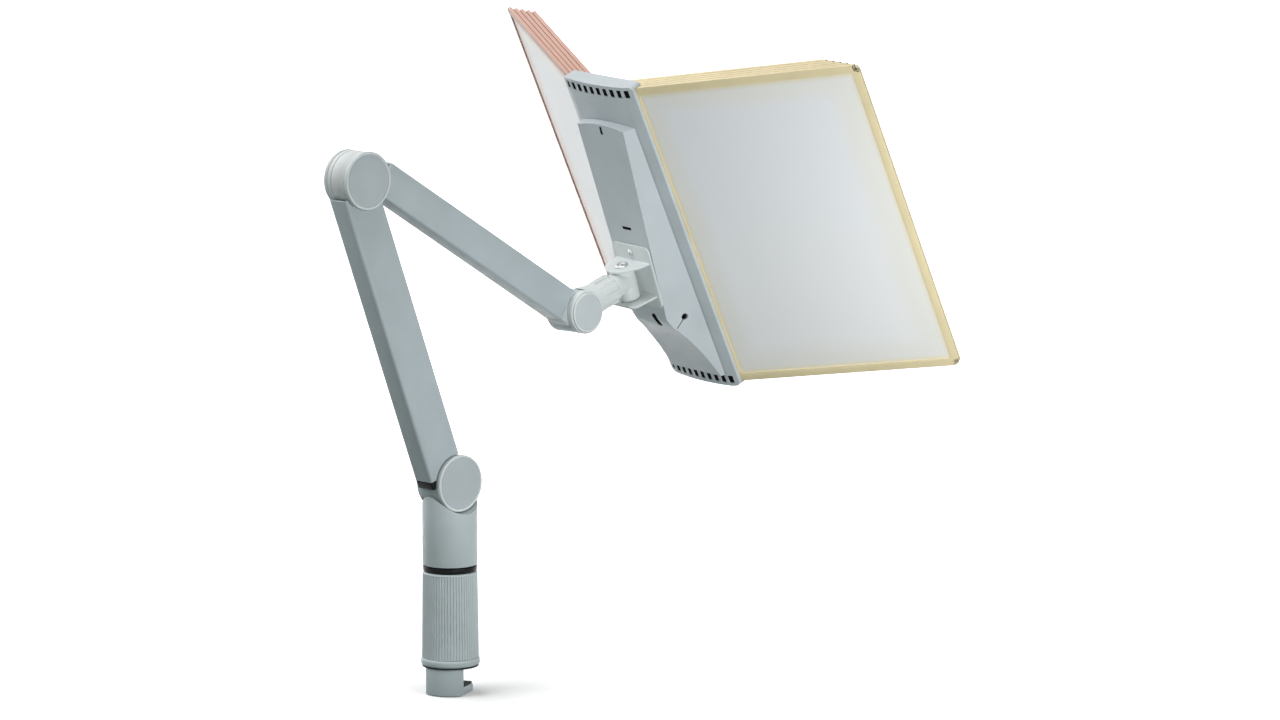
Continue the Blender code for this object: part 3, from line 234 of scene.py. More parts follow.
def moulding(
    name, colour, rough, grain=1500, relief=0.05, cloud=0.05, edge_wear_and_highlight=0.25, metallic=0.0, shine=0.25, rim=None,
):
    """A finish with fine grain, faint clouds of tone, uneven gloss, paler edges that are partly rubbed wear
    and partly painted highlight, and any rim painted pale as a highlight.
    """
    made, tree, shader = fresh_finish(name)
    shader.inputs["Metallic"].default_value = metallic
    shader.inputs["Specular IOR Level"].default_value = shine
    place = tree.nodes.new("ShaderNodeTexCoord").outputs["Object"]

    tone = tree.nodes.new("ShaderNodeValToRGB")
    dark = [channel * (1 - cloud) for channel in colour]
    pale = [min(1.0, channel * (1 + cloud)) for channel in colour]
    low_tone, high_tone = tone.color_ramp.elements
    low_tone.position, low_tone.color = CLOUD_LOW, (*dark, 1)
    high_tone.position, high_tone.color = CLOUD_HIGH, (*pale, 1)
    tree.links.new(noise(tree, place, scale=24, detail=5), tone.inputs["Fac"])
    ground = tone.outputs["Color"]
    # A marked rim is painted in the paler rim colour, as a highlight.
    if rim:
        lit_rim_mask = tree.nodes.new("ShaderNodeAttribute")
        lit_rim_mask.attribute_name = "rim"
        ground = blend(tree, lit_rim_mask.outputs["Fac"], ground, rim)

    # Paler rounded edges: partly rubbed wear, partly a painted highlight.
    round_edge = tree.nodes.new("ShaderNodeBevel")
    round_edge.samples = 4
    round_edge.inputs["Radius"].default_value = WEAR_AND_HIGHLIGHT_RADIUS
    surface = tree.nodes.new("ShaderNodeNewGeometry")
    agree = tree.nodes.new("ShaderNodeVectorMath")
    agree.operation = "DOT_PRODUCT"
    tree.links.new(round_edge.outputs["Normal"], agree.inputs[0])
    tree.links.new(surface.outputs["Normal"], agree.inputs[1])
    edge_wear_and_highlight_mask = ramp(tree, agree.outputs["Value"], WEAR_AND_HIGHLIGHT_START, WEAR_AND_HIGHLIGHT_FULL, high=edge_wear_and_highlight)
    patchy_wear_and_highlight = reckon(tree, "MULTIPLY", edge_wear_and_highlight_mask, noise(tree, place, scale=190, detail=3))
    wear_and_highlight_colour = tuple(channel + (1 - channel) * WEAR_AND_HIGHLIGHT_PALER for channel in colour)
    tree.links.new(blend(tree, patchy_wear_and_highlight, ground, wear_and_highlight_colour), shader.inputs["Base Color"])

    uneven = noise(tree, place, scale=120, detail=4)
    gloss = ramp(tree, uneven, CLOUD_LOW, CLOUD_HIGH, rough - GLOSSIER, rough + DULLER)
    tree.links.new(gloss, shader.inputs["Roughness"])
    fine = bump(tree, noise(tree, place, scale=grain, detail=2), relief, GRAIN_HEIGHT)
    tree.links.new(fine, shader.inputs["Normal"])
    return made


def dress(piece, name, coat, body, nodes, angle=32, even=False):
    """Names a finished piece, shades and coats it, ties it to its body and hides the nodes that it stands
    for.
    """
    only(piece)
    piece.name = piece.data.name = name
    piece.data.materials.clear()
    piece.data.materials.append(coat)
    bpy.ops.object.shade_smooth_by_angle(angle=math.radians(angle))
    if even:
        flat = piece.modifiers.new("even", "WEIGHTED_NORMAL")
        flat.keep_sharp = True
        bpy.ops.object.modifier_apply(modifier=flat.name)
    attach(piece, body)
    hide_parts(*nodes)
    return piece


def recoat(coat, *nodes):
    """Gives solids that keep their shape a better finish."""
    for node in nodes:
        for slot in frame["nodes"][node].material_slots:
            slot.material = coat


grey_moulding = moulding("grey_moulding", (0.53, 0.595, 0.612), 0.40, edge_wear_and_highlight=0.9)
foot_ring = lathe([
    (RING_LOW, 0.0252), (0.0019, 0.0260), (0.0027, RING_RADIUS), (0.0063, RING_RADIUS),
    (0.0070, 0.0264), (0.0076, 0.0260), (RING_HIGH, 0.0254), (RING_HIGH, COLUMN_SOCKET),
    (SOCKET_FLOOR, COLUMN_SOCKET),
])
web_way = web_block(WEB_WAY_RADIUS, BELOW_RING, WEB_WAY_TOP, WEB_WAY_SIDE, WEB_WAY_BACK)
stem_way = slab((-STEM_WAY_SIDE, STEM_WAY_FRONT, BELOW_RING), (STEM_WAY_SIDE, WEB_WAY_BACK, ABOVE_RING))
carve(foot_ring, web_way, stem_way)
dress(foot_ring, "foot_ring", grey_moulding, "base", ["base_ring"])

black_rubber = moulding(
    "black_rubber", (0.022, 0.023, 0.024), 0.72, grain=900, relief=0.22, cloud=0.2, edge_wear_and_highlight=0.05,
)
bright_steel = moulding(
    "bright_steel", (0.62, 0.63, 0.64), 0.27, grain=700, relief=0.04, edge_wear_and_highlight=0.1, metallic=1.0,
)
recoat(black_rubber, "base_pad")
recoat(bright_steel, "post_column")


# Clamping sleeve: the grey grip that is turned by hand to draw the jaw up. It is moulded with sixty
# upright ribs from its foot to a rounded lip at its top, and runs on the carriage's thread.
SLEEVE_BORE = 0.0215
SLEEVE_SIDES = 240
RIB_LOW, RIB_HIGH, RIB_INSIDE = 0.0084, 0.0846, 0.023
RIB_STEP, RIB_WIDTH, RIB_START = 6, 2.5, 0.2
GROOVE_SCALE, SLEEVE_MIDDLE = 0.968, 0.05
sleeve = lathe([
    (0.0081, 0.0249), (RIB_LOW, 0.0257), (RIB_HIGH, 0.0249), (0.0850, 0.0249), (0.0858, 0.0247),
    (0.0864, 0.0243), (0.0868, 0.0236), (0.0868, SLEEVE_BORE), (0.0081, SLEEVE_BORE),
    (0.0081, 0.0249),
], sides=SLEEVE_SIDES, hollow=True)


def in_groove(vertex):
    """True for the vertices of the rib zone that lie between two ribs."""
    in_zone = RIB_LOW - 1e-5 < vertex.co.z < RIB_HIGH + 1e-5
    turn = (math.degrees(math.atan2(vertex.co.y, vertex.co.x)) + RIB_START) % RIB_STEP
    return in_zone and vertex.co.xy.length > RIB_INSIDE and turn > RIB_WIDTH


pick(sleeve, "verts", in_groove)
bpy.ops.transform.resize(
    value=(GROOVE_SCALE, GROOVE_SCALE, 1), center_override=(0, 0, SLEEVE_MIDDLE),
)
done()
dress(sleeve, "ribbed_sleeve", grey_moulding, "sleeve", ["clamp_sleeve"], angle=25)


# Bracket: the painted casting that reaches down past the desk's edge and carries the jaw below it.
# Its front follows the sleeve's round, the jaw has rounded corners, and its stem is screwed to the
# carriage inside the sleeve.
WEB_RADIUS, WEB_SIDE, WEB_BACK, WEB_TOP = 0.0245, 0.017, -0.0096, 0.0005
JAW_LOW, JAW_HIGH, JAW_TIP = -0.0248, -0.0183, 0.016
JAW_CORNER, JAW_OVERLAP = 0.005, 0.002
STEM_SIDE, STEM_FRONT, STEM_LOW, STEM_HIGH = 0.009, -0.0162, -0.004, 0.032
bracket = web_block(WEB_RADIUS, JAW_LOW, WEB_TOP, WEB_SIDE, WEB_BACK)
jaw = slab((-WEB_SIDE, WEB_BACK - JAW_OVERLAP, JAW_LOW), (WEB_SIDE, JAW_TIP, JAW_HIGH))


def round_edges(piece, chosen, width, segments):
    """Rounds the chosen edges of a piece."""
    pick(piece, "edges", chosen)
    bpy.ops.mesh.bevel(offset=width, segments=segments, affect="EDGES")
    done()
    return piece


def clean(piece):
    """Welds a sawn mesh and clears needless edges off its flats."""
    pick(piece, "verts", lambda vertex: True)
    bpy.ops.mesh.remove_doubles(threshold=2e-6)
    bpy.ops.mesh.dissolve_limited(angle_limit=math.radians(0.4))
    done()
    return piece


def soften(piece, width, segments=2, angle=35):
    """Cleans a sawn mesh and rounds its sharp edges."""
    clean(piece)
    edge = piece.modifiers.new("edge", "BEVEL")
    edge.width, edge.segments, edge.limit_method = width, segments, "ANGLE"
    edge.angle_limit = math.radians(angle)
    bpy.ops.object.modifier_apply(modifier=edge.name)
    return piece


def upright_at_tip(edge):
    """True for the jaw's two upright edges at its tip."""
    ends = [vertex.co for vertex in edge.verts]
    return all(end.y > JAW_TIP - 1e-5 for end in ends) and abs(ends[0].x - ends[1].x) < 1e-6


round_edges(jaw, upright_at_tip, JAW_CORNER, 6)
stem = slab((-STEM_SIDE, STEM_FRONT, STEM_LOW), (STEM_SIDE, WEB_BACK, STEM_HIGH))
fuse(bracket, jaw, stem)
soften(bracket, 0.0016, segments=4)
grey_paint = moulding("grey_paint", (0.475, 0.54, 0.565), 0.42, grain=620, relief=0.06, edge_wear_and_highlight=0.5)
dress(bracket, "jaw_bracket", grey_paint, "jaw", ["clamp_bracket"])
recoat(black_rubber, "jaw_pad")
zinc_steel = moulding(
    "zinc_steel", (0.52, 0.53, 0.53), 0.34, grain=420, relief=0.05, cloud=0.1, edge_wear_and_highlight=0.2, metallic=1.0,
)
recoat(zinc_steel, "carriage_screw")
black_moulding = moulding("black_moulding", (0.005, 0.005, 0.006), 0.2, relief=0.02, edge_wear_and_highlight=0.03, shine=0.09)
recoat(black_moulding, "carriage_nut")


# Swivel ring: the glossy black bearing ring that the post turns on. It is moulded with a rounded
# edge and lies loose between the sleeve and the post.
swivel_ring = lathe([
    (0.0871, 0.0230), (0.0873, 0.0239), (0.0878, 0.0244), (0.0886, 0.0246), (0.0912, 0.0246),
    (0.0920, 0.0244), (0.0925, 0.0239), (0.0927, 0.0230), (0.0927, 0.0081), (0.0871, 0.0081),
    (0.0871, 0.0230),
], hollow=True)
dress(swivel_ring, "bearing_ring", black_moulding, "swivel", ["swivel_ring"], angle=50)


# Swivel post: the grey moulded tube that turns on the column. Its top is scooped to a saddle for the
# arm's round end, and a lug stands in the saddle between the two ears of the arm.
POST_RADIUS, POST_TOP, POST_CUT = 0.0249, 0.1575, 0.04
SADDLE_RADIUS = 0.0272
SHOULDER_HEIGHT = 0.168
LUG_RADIUS = 0.0253
LUG_LEFT, LUG_RIGHT, LUG_SKIRT = -0.0062, 0.0050, 0.0061
LUG_HOLE, FLANGE_WAY, FLANGE_BEYOND = 0.0069, 0.0208, 0.02
LUG_NECK_HALF, LUG_NECK_LOW = 0.012, 0.130
BUSH_WAY, BUSH_WAY_LOW, BUSH_WAY_HIGH = 0.0111, 0.085, 0.1235
COLUMN_WAY, COLUMN_WAY_LOW, COLUMN_WAY_HIGH = 0.0081, 0.12, 0.1283
joints = {entry["name"]: entry for entry in frame["joints"]}


def stand(origin, across, upward):
    """The frame of a piece, from its origin, its X axis and its Z axis."""
    x, z = Vector(across).normalized(), Vector(upward).normalized()
    y = z.cross(x)
    made = Matrix((x, y, z)).transposed().to_4x4()
    made.translation = Vector(origin)
    return made


def hinge_lug(pivot):
    """The round lug of a hinge, hollowed on its right side for the bush's flange."""
    made = pillar(LUG_RADIUS, LUG_LEFT, LUG_SKIRT, "X", pivot, sides=128)
    soften(made, 0.0003)
    return carve(made, pillar(FLANGE_WAY, LUG_RIGHT, FLANGE_BEYOND, "X", pivot))


hinge_line = Vector(joints["shoulder_tilt"]["axis"])
post_stand = stand((0, 0, 0), hinge_line, (0, 0, 1))
post = lathe([(0.0930, 0.0243), (0.0932, 0.0247), (0.0937, POST_RADIUS), (POST_TOP, POST_RADIUS)])
post_pivot = (0, 0, SHOULDER_HEIGHT)
carve(post, pillar(SADDLE_RADIUS, -POST_CUT, POST_CUT, "X", post_pivot, sides=128))
soften(post, 0.0016, segments=4)
lug_neck = slab((LUG_LEFT, -LUG_NECK_HALF, LUG_NECK_LOW), (LUG_RIGHT, LUG_NECK_HALF, SHOULDER_HEIGHT))
fuse(post, hinge_lug(post_pivot), lug_neck)
carve(
    post, pillar(LUG_HOLE, -POST_CUT, POST_CUT, "X", post_pivot, sides=48),
    pillar(BUSH_WAY, BUSH_WAY_LOW, BUSH_WAY_HIGH), pillar(COLUMN_WAY, COLUMN_WAY_LOW, COLUMN_WAY_HIGH),
)
settle(post, post_stand)
dress(post, "saddle_post", grey_moulding, "swivel", ["swivel_post"])
white_nylon = moulding("white_nylon", (0.72, 0.72, 0.69), 0.42, grain=600, relief=0.04, edge_wear_and_highlight=0.1)
recoat(white_nylon, "swivel_bush", "shoulder_bush", "elbow_bush")


# Lower arm: a painted rectangular tube, scooped at both ends to clear the hinge drums. A glossy black
# moulded trim ring closes its foot, and a fork is plugged into each of its ends.
ARM_HALF = 0.01125
TUBE_WALL, TUBE_CORNER = 0.002, 0.0024
LOWER_ARM = 0.301
LOWER_FRONT, LOWER_BACK = -0.0283, 0.0117
TUBE_START, TUBE_SHORT = 0.0143, 0.008
TRIM_START, TRIM_END = 0.007, 0.014
SCOOP_RADIUS, ARM_CUT = 0.0264, 0.03
shoulder = Vector(joints["shoulder_tilt"]["pos_m"])
elbow = Vector(joints["elbow_fold"]["pos_m"])
shoulder_stand = stand(shoulder, hinge_line, elbow - shoulder)


def along(direction):
    """A test for edges that run along an axis."""
    index = "XYZ".index(direction)

    def runs(edge):
        step = edge.verts[0].co - edge.verts[1].co
        return all(abs(step[other]) < 1e-6 for other in range(3) if other != index)

    return runs


def square_tube(front, back, low, high):
    """A rectangular tube along Z with rounded corners and an even wall."""
    made = slab((-ARM_HALF, front, low), (ARM_HALF, back, high))
    round_edges(made, along("Z"), TUBE_CORNER, 5)
    pick(made, "faces", lambda face: abs(face.normal.z) > 0.99)
    bpy.ops.mesh.inset(thickness=TUBE_WALL, depth=0)
    bpy.ops.mesh.bridge_edge_loops()
    bpy.ops.mesh.select_all(action="SELECT")
    bpy.ops.mesh.normals_make_consistent(inside=False)
    done()
    return made


def drum_way(pivot):
    """A cutter that clears the hinge drum about a pivot."""
    return pillar(SCOOP_RADIUS, -ARM_CUT, ARM_CUT, "X", pivot, sides=128)


lower_tube = square_tube(LOWER_FRONT, LOWER_BACK, TUBE_START, LOWER_ARM - TUBE_SHORT)
carve(lower_tube, drum_way((0, 0, 0)), drum_way((0, 0, LOWER_ARM)))
soften(lower_tube, 0.0006)
settle(lower_tube, shoulder_stand)
dress(lower_tube, "lower_tube", grey_paint, "lower_arm", ["lower_arm_tube"])

end_trim = square_tube(LOWER_FRONT, LOWER_BACK, TRIM_START, TRIM_END)
carve(end_trim, drum_way((0, 0, 0)))
soften(end_trim, 0.0005)
settle(end_trim, shoulder_stand)
dress(end_trim, "foot_trim", black_moulding, "lower_arm", ["lower_arm_end_trim"])


# Arm forks: the moulded ends of the lower arm. Each has a root glued into the tube and two round
# ears, which close on the lug of the post or of the upper arm like a drum.
EAR_RADIUS, SLOT_RADIUS, SLOT_HALF = 0.0254, 0.026, 0.0065
ROOT_START, ROOT_END, ROOT_FIT = 0.016, 0.045, 0.0003
BOLT_WAY = 0.0053


def arm_fork(pivot, toward):
    """One fork about a pivot on the arm's line, with its root towards the tube."""
    made = pillar(EAR_RADIUS, -ARM_HALF, ARM_HALF, "X", (0, 0, pivot), sides=128)
    soften(made, 0.0004)
    low, high = sorted((pivot + toward * ROOT_START, pivot + toward * ROOT_END))
    inner = TUBE_WALL + ROOT_FIT
    root = slab((inner - ARM_HALF, LOWER_FRONT + inner, low), (ARM_HALF - inner, LOWER_BACK - inner, high))
    slot = pillar(SLOT_RADIUS, -SLOT_HALF, SLOT_HALF, "X", (0, 0, pivot), sides=128)
    bolt_way = pillar(BOLT_WAY, -ARM_CUT, ARM_CUT, "X", (0, 0, pivot), sides=48)
    return carve(fuse(made, root), slot, bolt_way)


pale_moulding = moulding("pale_moulding", (0.72, 0.755, 0.75), 0.40, edge_wear_and_highlight=0.7)
# Both forks are the same moulding; the foot fork takes the darker grey finish as painted shade, since it sits
# in shadow below the trim.
for fork_name, pivot_height, toward, node, coat in (
    ("foot_fork", 0, 1, "lower_arm_foot_fork", grey_moulding),
    ("elbow_fork", LOWER_ARM, -1, "lower_arm_elbow_fork", pale_moulding),
):
    fork = settle(arm_fork(pivot_height, toward), shoulder_stand)
    dress(fork, fork_name, coat, "lower_arm", [node])


# Hinge caps: the domed discs that hide the hinge bolts on both sides of the shoulder and the elbow.
# Each is moulded with a raised rim, a fine groove inside it and a recess behind for the bolt's head.
# The rim is painted paler, as a highlight.
CAP_SEAT, CAP_LIT_RIM_RADIUS = 0.01155, 0.0235


def twin(piece):
    """A copy of a piece with a mesh of its own."""
    made = piece.copy()
    made.data = piece.data.copy()
    bpy.context.scene.collection.objects.link(made)
    return made


def mark_lit_rim(piece, radius):
    """Marks the vertices beyond a radius, which the finish paints in its paler rim colour as a highlight."""
    rim = piece.data.attributes.new("rim", "FLOAT", "POINT")
    for vertex in piece.data.vertices:
        rim.data[vertex.index].value = 1.0 if vertex.co.xy.length > radius else 0.0


def cap_seat(side, reach, height=0):
    """The place of a cap on one side of a hinge, facing outward."""
    return Matrix.Translation((side * reach, 0, height)) @ Matrix.Rotation(side * math.pi / 2, 4, "Y")


# The cap's rim colour is a painted highlight.
cap_moulding = moulding("cap_moulding", (0.50, 0.55, 0.575), 0.44, edge_wear_and_highlight=0.5, rim=(0.76, 0.80, 0.80))
hinge_cap = lathe([
    (0.0030, 0.0105), (0, 0.0105), (0, 0.0250), (0.0002, 0.0255), (0.0007, 0.0258),
    (0.0030, 0.0258), (0.0037, 0.0256), (0.0041, 0.0251), (0.0042, 0.0246), (0.0041, 0.0240),
    (0.0038, 0.0236), (0.0031, 0.0233), (0.0031, 0.0229), (0.0035, 0.0226), (0.0037, 0.0215),
    (0.0039, 0.0180), (0.00405, 0.0130), (0.00415, 0.0080), (0.0042, 0.0030),
], sides=128)
mark_lit_rim(hinge_cap, CAP_LIT_RIM_RADIUS)
for hinge_name, pivot_height in (("shoulder", 0), ("elbow", LOWER_ARM)):
    for side, side_name in ((-1, "left"), (1, "right")):
        cap = settle(twin(hinge_cap), shoulder_stand @ cap_seat(side, CAP_SEAT, pivot_height))
        cap_name, node = f"{hinge_name}_disc_{side_name}", f"{hinge_name}_cap_{side_name}"
        dress(cap, cap_name, cap_moulding, "lower_arm", [node], angle=40)
bpy.data.objects.remove(hinge_cap)
recoat(zinc_steel, "shoulder_bolt", "shoulder_nut", "elbow_bolt", "elbow_nut")


# Upper arm: a slimmer painted tube that lies at a small angle to the line of its pivots. A drum
# knuckle is plugged into its elbow end and a rounded knuckle into its head end.
UPPER_DEPTH = 0.031
UPPER_CROSSING = 0.239
UPPER_SKEW = math.radians(-2.95)
UPPER_LOW, UPPER_HIGH = -0.219, 0.037
PLUG_SIDE, PLUG_HALF = 0.0089, 0.0132
DRUM_NECK_HALF, DRUM_NECK_LOW, DRUM_NECK_HIGH = 0.0102, -0.236, -0.198
DRUM_PLUG_LOW, DRUM_PLUG_HIGH = -0.210, -0.186
HEAD_RADIUS, HEAD_HALF = 0.0196, 0.0113
HEAD_ROOT_LOW, HEAD_ROOT_HIGH = 0.0373, 0.0493
HEAD_PLUG_LOW, HEAD_PLUG_HIGH = 0.013, 0.0433
TILT_BOLT_WAY = 0.0043
head = Vector(joints["head_tilt"]["pos_m"])
elbow_stand = stand(elbow, hinge_line, head - elbow)
upper_stand = elbow_stand @ Matrix.Translation((0, 0, UPPER_CROSSING)) @ Matrix.Rotation(UPPER_SKEW, 4, "X")
elbow_pivot = upper_stand.inverted() @ elbow
head_pivot = upper_stand.inverted() @ head

upper_tube = square_tube(-UPPER_DEPTH / 2, UPPER_DEPTH / 2, UPPER_LOW, UPPER_HIGH)
carve(upper_tube, drum_way(elbow_pivot))
soften(upper_tube, 0.0006)
settle(upper_tube, upper_stand)
dress(upper_tube, "upper_tube", grey_paint, "upper_arm", ["upper_arm_tube"])

elbow_knuckle = hinge_lug(elbow_pivot)
drum_neck = slab((LUG_LEFT, -DRUM_NECK_HALF, DRUM_NECK_LOW), (LUG_RIGHT, DRUM_NECK_HALF, DRUM_NECK_HIGH))
drum_plug = slab((-PLUG_SIDE, -PLUG_HALF, DRUM_PLUG_LOW), (PLUG_SIDE, PLUG_HALF, DRUM_PLUG_HIGH))
fuse(elbow_knuckle, drum_neck, drum_plug)
carve(elbow_knuckle, pillar(LUG_HOLE, -ARM_CUT, ARM_CUT, "X", elbow_pivot, sides=48))
settle(elbow_knuckle, upper_stand)
dress(elbow_knuckle, "elbow_drum", pale_moulding, "upper_arm", ["upper_arm_elbow_knuckle"])

head_knuckle = pillar(HEAD_RADIUS, -HEAD_HALF, HEAD_HALF, "X", head_pivot)
head_root = slab((-ARM_HALF, -UPPER_DEPTH / 2, HEAD_ROOT_LOW), (ARM_HALF, UPPER_DEPTH / 2, HEAD_ROOT_HIGH))
round_edges(head_root, along("Z"), TUBE_CORNER, 5)
head_plug = slab((-PLUG_SIDE, -PLUG_HALF, HEAD_PLUG_LOW), (PLUG_SIDE, PLUG_HALF, HEAD_PLUG_HIGH))
fuse(head_knuckle, head_root, head_plug)
carve(head_knuckle, pillar(TILT_BOLT_WAY, -ARM_CUT, ARM_CUT, "X", head_pivot, sides=48))
soften(head_knuckle, 0.0007)
settle(head_knuckle, upper_stand)
dress(head_knuckle, "head_knuckle", grey_moulding, "upper_arm", ["upper_arm_head_knuckle"])


# Neck: the pale moulded fork on the head pivot. Its two round cheeks hold the arm's knuckle, and its
# fluted collar holds the rolling knuckle. A small domed cap is pressed into each cheek.
CHEEK_INNER, CHEEK_OUTER, CHEEK_RADIUS = 0.0116, 0.0174, 0.0199
HEAD_WAY = 0.0204
TILT_CAP_WAY, TILT_CAP_FLOOR, TILT_SEAT, TILT_LIT_RIM_RADIUS = 0.0186, 0.0154, 0.0157, 0.0165
FLUTE_COUNT, FLUTE_STEP = 12, 30
FLUTE_RING, FLUTE_RADIUS, FLUTE_LOW, FLUTE_HIGH = 0.0150, 0.0022, 0.0285, 0.0472
COLLAR_BORE, COLLAR_BORE_LOW, COLLAR_BORE_HIGH = 0.0083, 0.03, 0.06
roll_line = Vector(joints["neck_roll"]["axis"])
head_stand = stand(head, hinge_line, hinge_line.cross(roll_line))
upright_to_y = Matrix.Rotation(-math.pi / 2, 4, "X")
neck_fork = pillar(CHEEK_RADIUS, -CHEEK_OUTER, CHEEK_OUTER, "X", sides=128)
soften(neck_fork, 0.0012, segments=3)
collar = lathe([
    (0.010, 0.0174), (0.016, 0.0168), (0.022, 0.0153), (0.027, 0.0144), (0.0480, 0.0144),
    (0.0485, 0.0141), (0.0488, 0.0136),
])
settle(collar, upright_to_y)
for step in range(FLUTE_COUNT):
    spoke = math.radians(step * FLUTE_STEP + FLUTE_STEP / 2)
    flute_line = (FLUTE_RING * math.cos(spoke), 0, FLUTE_RING * math.sin(spoke))
    carve(collar, pillar(FLUTE_RADIUS, FLUTE_LOW, FLUTE_HIGH, "Y", flute_line, sides=20))
fuse(neck_fork, collar)
carve(
    neck_fork, pillar(HEAD_WAY, -CHEEK_INNER, CHEEK_INNER, "X", sides=128),
    pillar(TILT_CAP_WAY, TILT_CAP_FLOOR, ARM_CUT, "X"), pillar(TILT_CAP_WAY, -ARM_CUT, -TILT_CAP_FLOOR, "X"),
    pillar(TILT_BOLT_WAY, -ARM_CUT, ARM_CUT, "X", sides=48),
    pillar(COLLAR_BORE, COLLAR_BORE_LOW, COLLAR_BORE_HIGH, "Y"),
)
settle(neck_fork, head_stand)
dress(neck_fork, "fluted_neck", pale_moulding, "neck", ["neck_fork"])

tilt_cap = lathe([
    (0.0024, 0.0085), (0, 0.0085), (0, 0.0176), (0.0003, 0.0181), (0.0008, 0.0183),
    (0.0024, 0.0183), (0.0030, 0.0181), (0.0033, 0.0176), (0.0034, 0.0171), (0.0032, 0.0166),
    (0.0026, 0.0164), (0.0026, 0.0161), (0.0029, 0.0158), (0.0031, 0.0130), (0.0033, 0.0085),
    (0.0034, 0.0030),
])
# The tilt caps' rims are painted paler too, as a highlight.
mark_lit_rim(tilt_cap, TILT_LIT_RIM_RADIUS)
tilt_moulding = moulding("tilt_moulding", (0.60, 0.645, 0.665), 0.44, edge_wear_and_highlight=0.5, rim=(0.78, 0.81, 0.81))
for side, side_name in ((-1, "left"), (1, "right")):
    cap = settle(twin(tilt_cap), head_stand @ cap_seat(side, TILT_SEAT))
    cap_name, node = f"tilt_disc_{side_name}", f"tilt_cap_{side_name}"
    dress(cap, cap_name, tilt_moulding, "neck", [node], angle=40)
bpy.data.objects.remove(tilt_cap)
recoat(zinc_steel, "tilt_bolt", "roll_screw")


# Rolling knuckle: the pale moulded plug that turns in the neck's collar. It ends in an upright
# barrel, which the clevis swings round.
NECK_REACH = 0.0685
BARREL_RADIUS, BARREL_LOW, BARREL_HIGH = 0.010, -0.0187, 0.0120
PIN_WAY, PIN_CUT = 0.0043, 0.03
SCREW_WAY, SCREW_WAY_LOW, SCREW_WAY_HIGH = 0.0028, 0.03, 0.05
knuckle = lathe([
    (0.0370, 0.0080), (0.0496, 0.0080), (0.0496, 0.0120), (0.0499, 0.0125), (0.0504, 0.0126),
    (0.0551, 0.0112), (0.0600, 0.0106), (NECK_REACH, 0.0104),
])
settle(knuckle, upright_to_y)
barrel = pillar(BARREL_RADIUS, BARREL_LOW, BARREL_HIGH, "Z", (0, NECK_REACH, 0))
soften(barrel, 0.0006)
pin_way = pillar(PIN_WAY, -PIN_CUT, PIN_CUT, "Z", (0, NECK_REACH, 0), sides=48)
screw_way = pillar(SCREW_WAY, SCREW_WAY_LOW, SCREW_WAY_HIGH, "Y", sides=32)
carve(fuse(knuckle, barrel), pin_way, screw_way)
settle(knuckle, head_stand)
dress(knuckle, "barrel_knuckle", pale_moulding, "knuckle", ["roll_knuckle"])


# Clevis: a bracket pressed from 2 mm sheet and painted white. A rounded ear reaches over the barrel and
# a square one under it, and the plate between them is screwed to the holder's cover.
first_leaf, last_leaf = (Vector(joints[name]["pos_m"]) for name in ("leaf_01_turn", "leaf_10_turn"))
spine_across = last_leaf - first_leaf
clevis_pin = Vector(joints["clevis_swing"]["pos_m"])
clevis_stand = stand(clevis_pin, spine_across, joints["clevis_swing"]["axis"])
EAR_NOSE, EAR_BEND = -0.0145, 0.0146
PLATE_SIDE, PLATE_FRONT, PLATE_BACK = 0.0275, 0.0136, 0.0156
PLATE_LOW, PLATE_HIGH, PLATE_CORNER = -0.032, 0.0295, 0.006
UPPER_EAR, UPPER_EAR_LOW, UPPER_EAR_HIGH = 0.0245, 0.0123, 0.0143
LOWER_EAR, LOWER_EAR_LOW, LOWER_EAR_HIGH = 0.0235, -0.0210, -0.0190
SCREW_SEAT, SCREW_UPPER, SCREW_LOWER = 0.0133, 0.022, -0.0262
CROSS_LONG, CROSS_WIDE, CROSS_LOW, CROSS_HIGH = 0.0019, 0.0004, 0.0006, 0.003
clevis = slab((-PLATE_SIDE, PLATE_FRONT, PLATE_LOW), (PLATE_SIDE, PLATE_BACK, PLATE_HIGH))
round_edges(clevis, along("Y"), PLATE_CORNER, 8)

upper_ear = pillar(UPPER_EAR, UPPER_EAR_LOW, UPPER_EAR_HIGH, sides=128)
pick(upper_ear, "verts", lambda vertex: True)
bpy.ops.transform.resize(value=(1, (EAR_BEND - EAR_NOSE) / UPPER_EAR, 1))
bpy.ops.transform.translate(value=(0, EAR_BEND, 0))
done()
trim(upper_ear, (0, EAR_BEND, 0), (0, 1, 0))

lower_ear = slab((-LOWER_EAR, EAR_NOSE, LOWER_EAR_LOW), (LOWER_EAR, EAR_BEND, LOWER_EAR_HIGH))
round_edges(lower_ear, lambda edge: along("Z")(edge) and edge.verts[0].co.y < 0, PLATE_CORNER, 8)
fuse(clevis, upper_ear, lower_ear)
carve(clevis, pillar(PIN_WAY, -PIN_CUT, PIN_CUT, sides=48))
soften(clevis, 0.0006)
settle(clevis, clevis_stand)
white_paint = moulding("white_paint", (0.72, 0.76, 0.76), 0.36, grain=900, relief=0.03, edge_wear_and_highlight=0.3)
dress(clevis, "clevis_plate", white_paint, "holder", ["clevis_bracket"])

pin = lathe([
    (-0.0225, 0.0050), (-0.0222, 0.0058), (-0.0217, 0.0062), (-0.0213, 0.0062), (-0.0213, 0.0040),
    (0.0146, 0.0040), (0.0146, 0.0062), (0.0150, 0.0062), (0.0155, 0.0060), (0.0158, 0.0054),
    (0.0158, 0.0040), (0.0151, 0.0036), (0.0151, 0.0024), (0.0156, 0.0020),
], sides=64)
settle(pin, clevis_stand)
dress(pin, "swing_pin", bright_steel, "holder", ["clevis_pin"], angle=40)

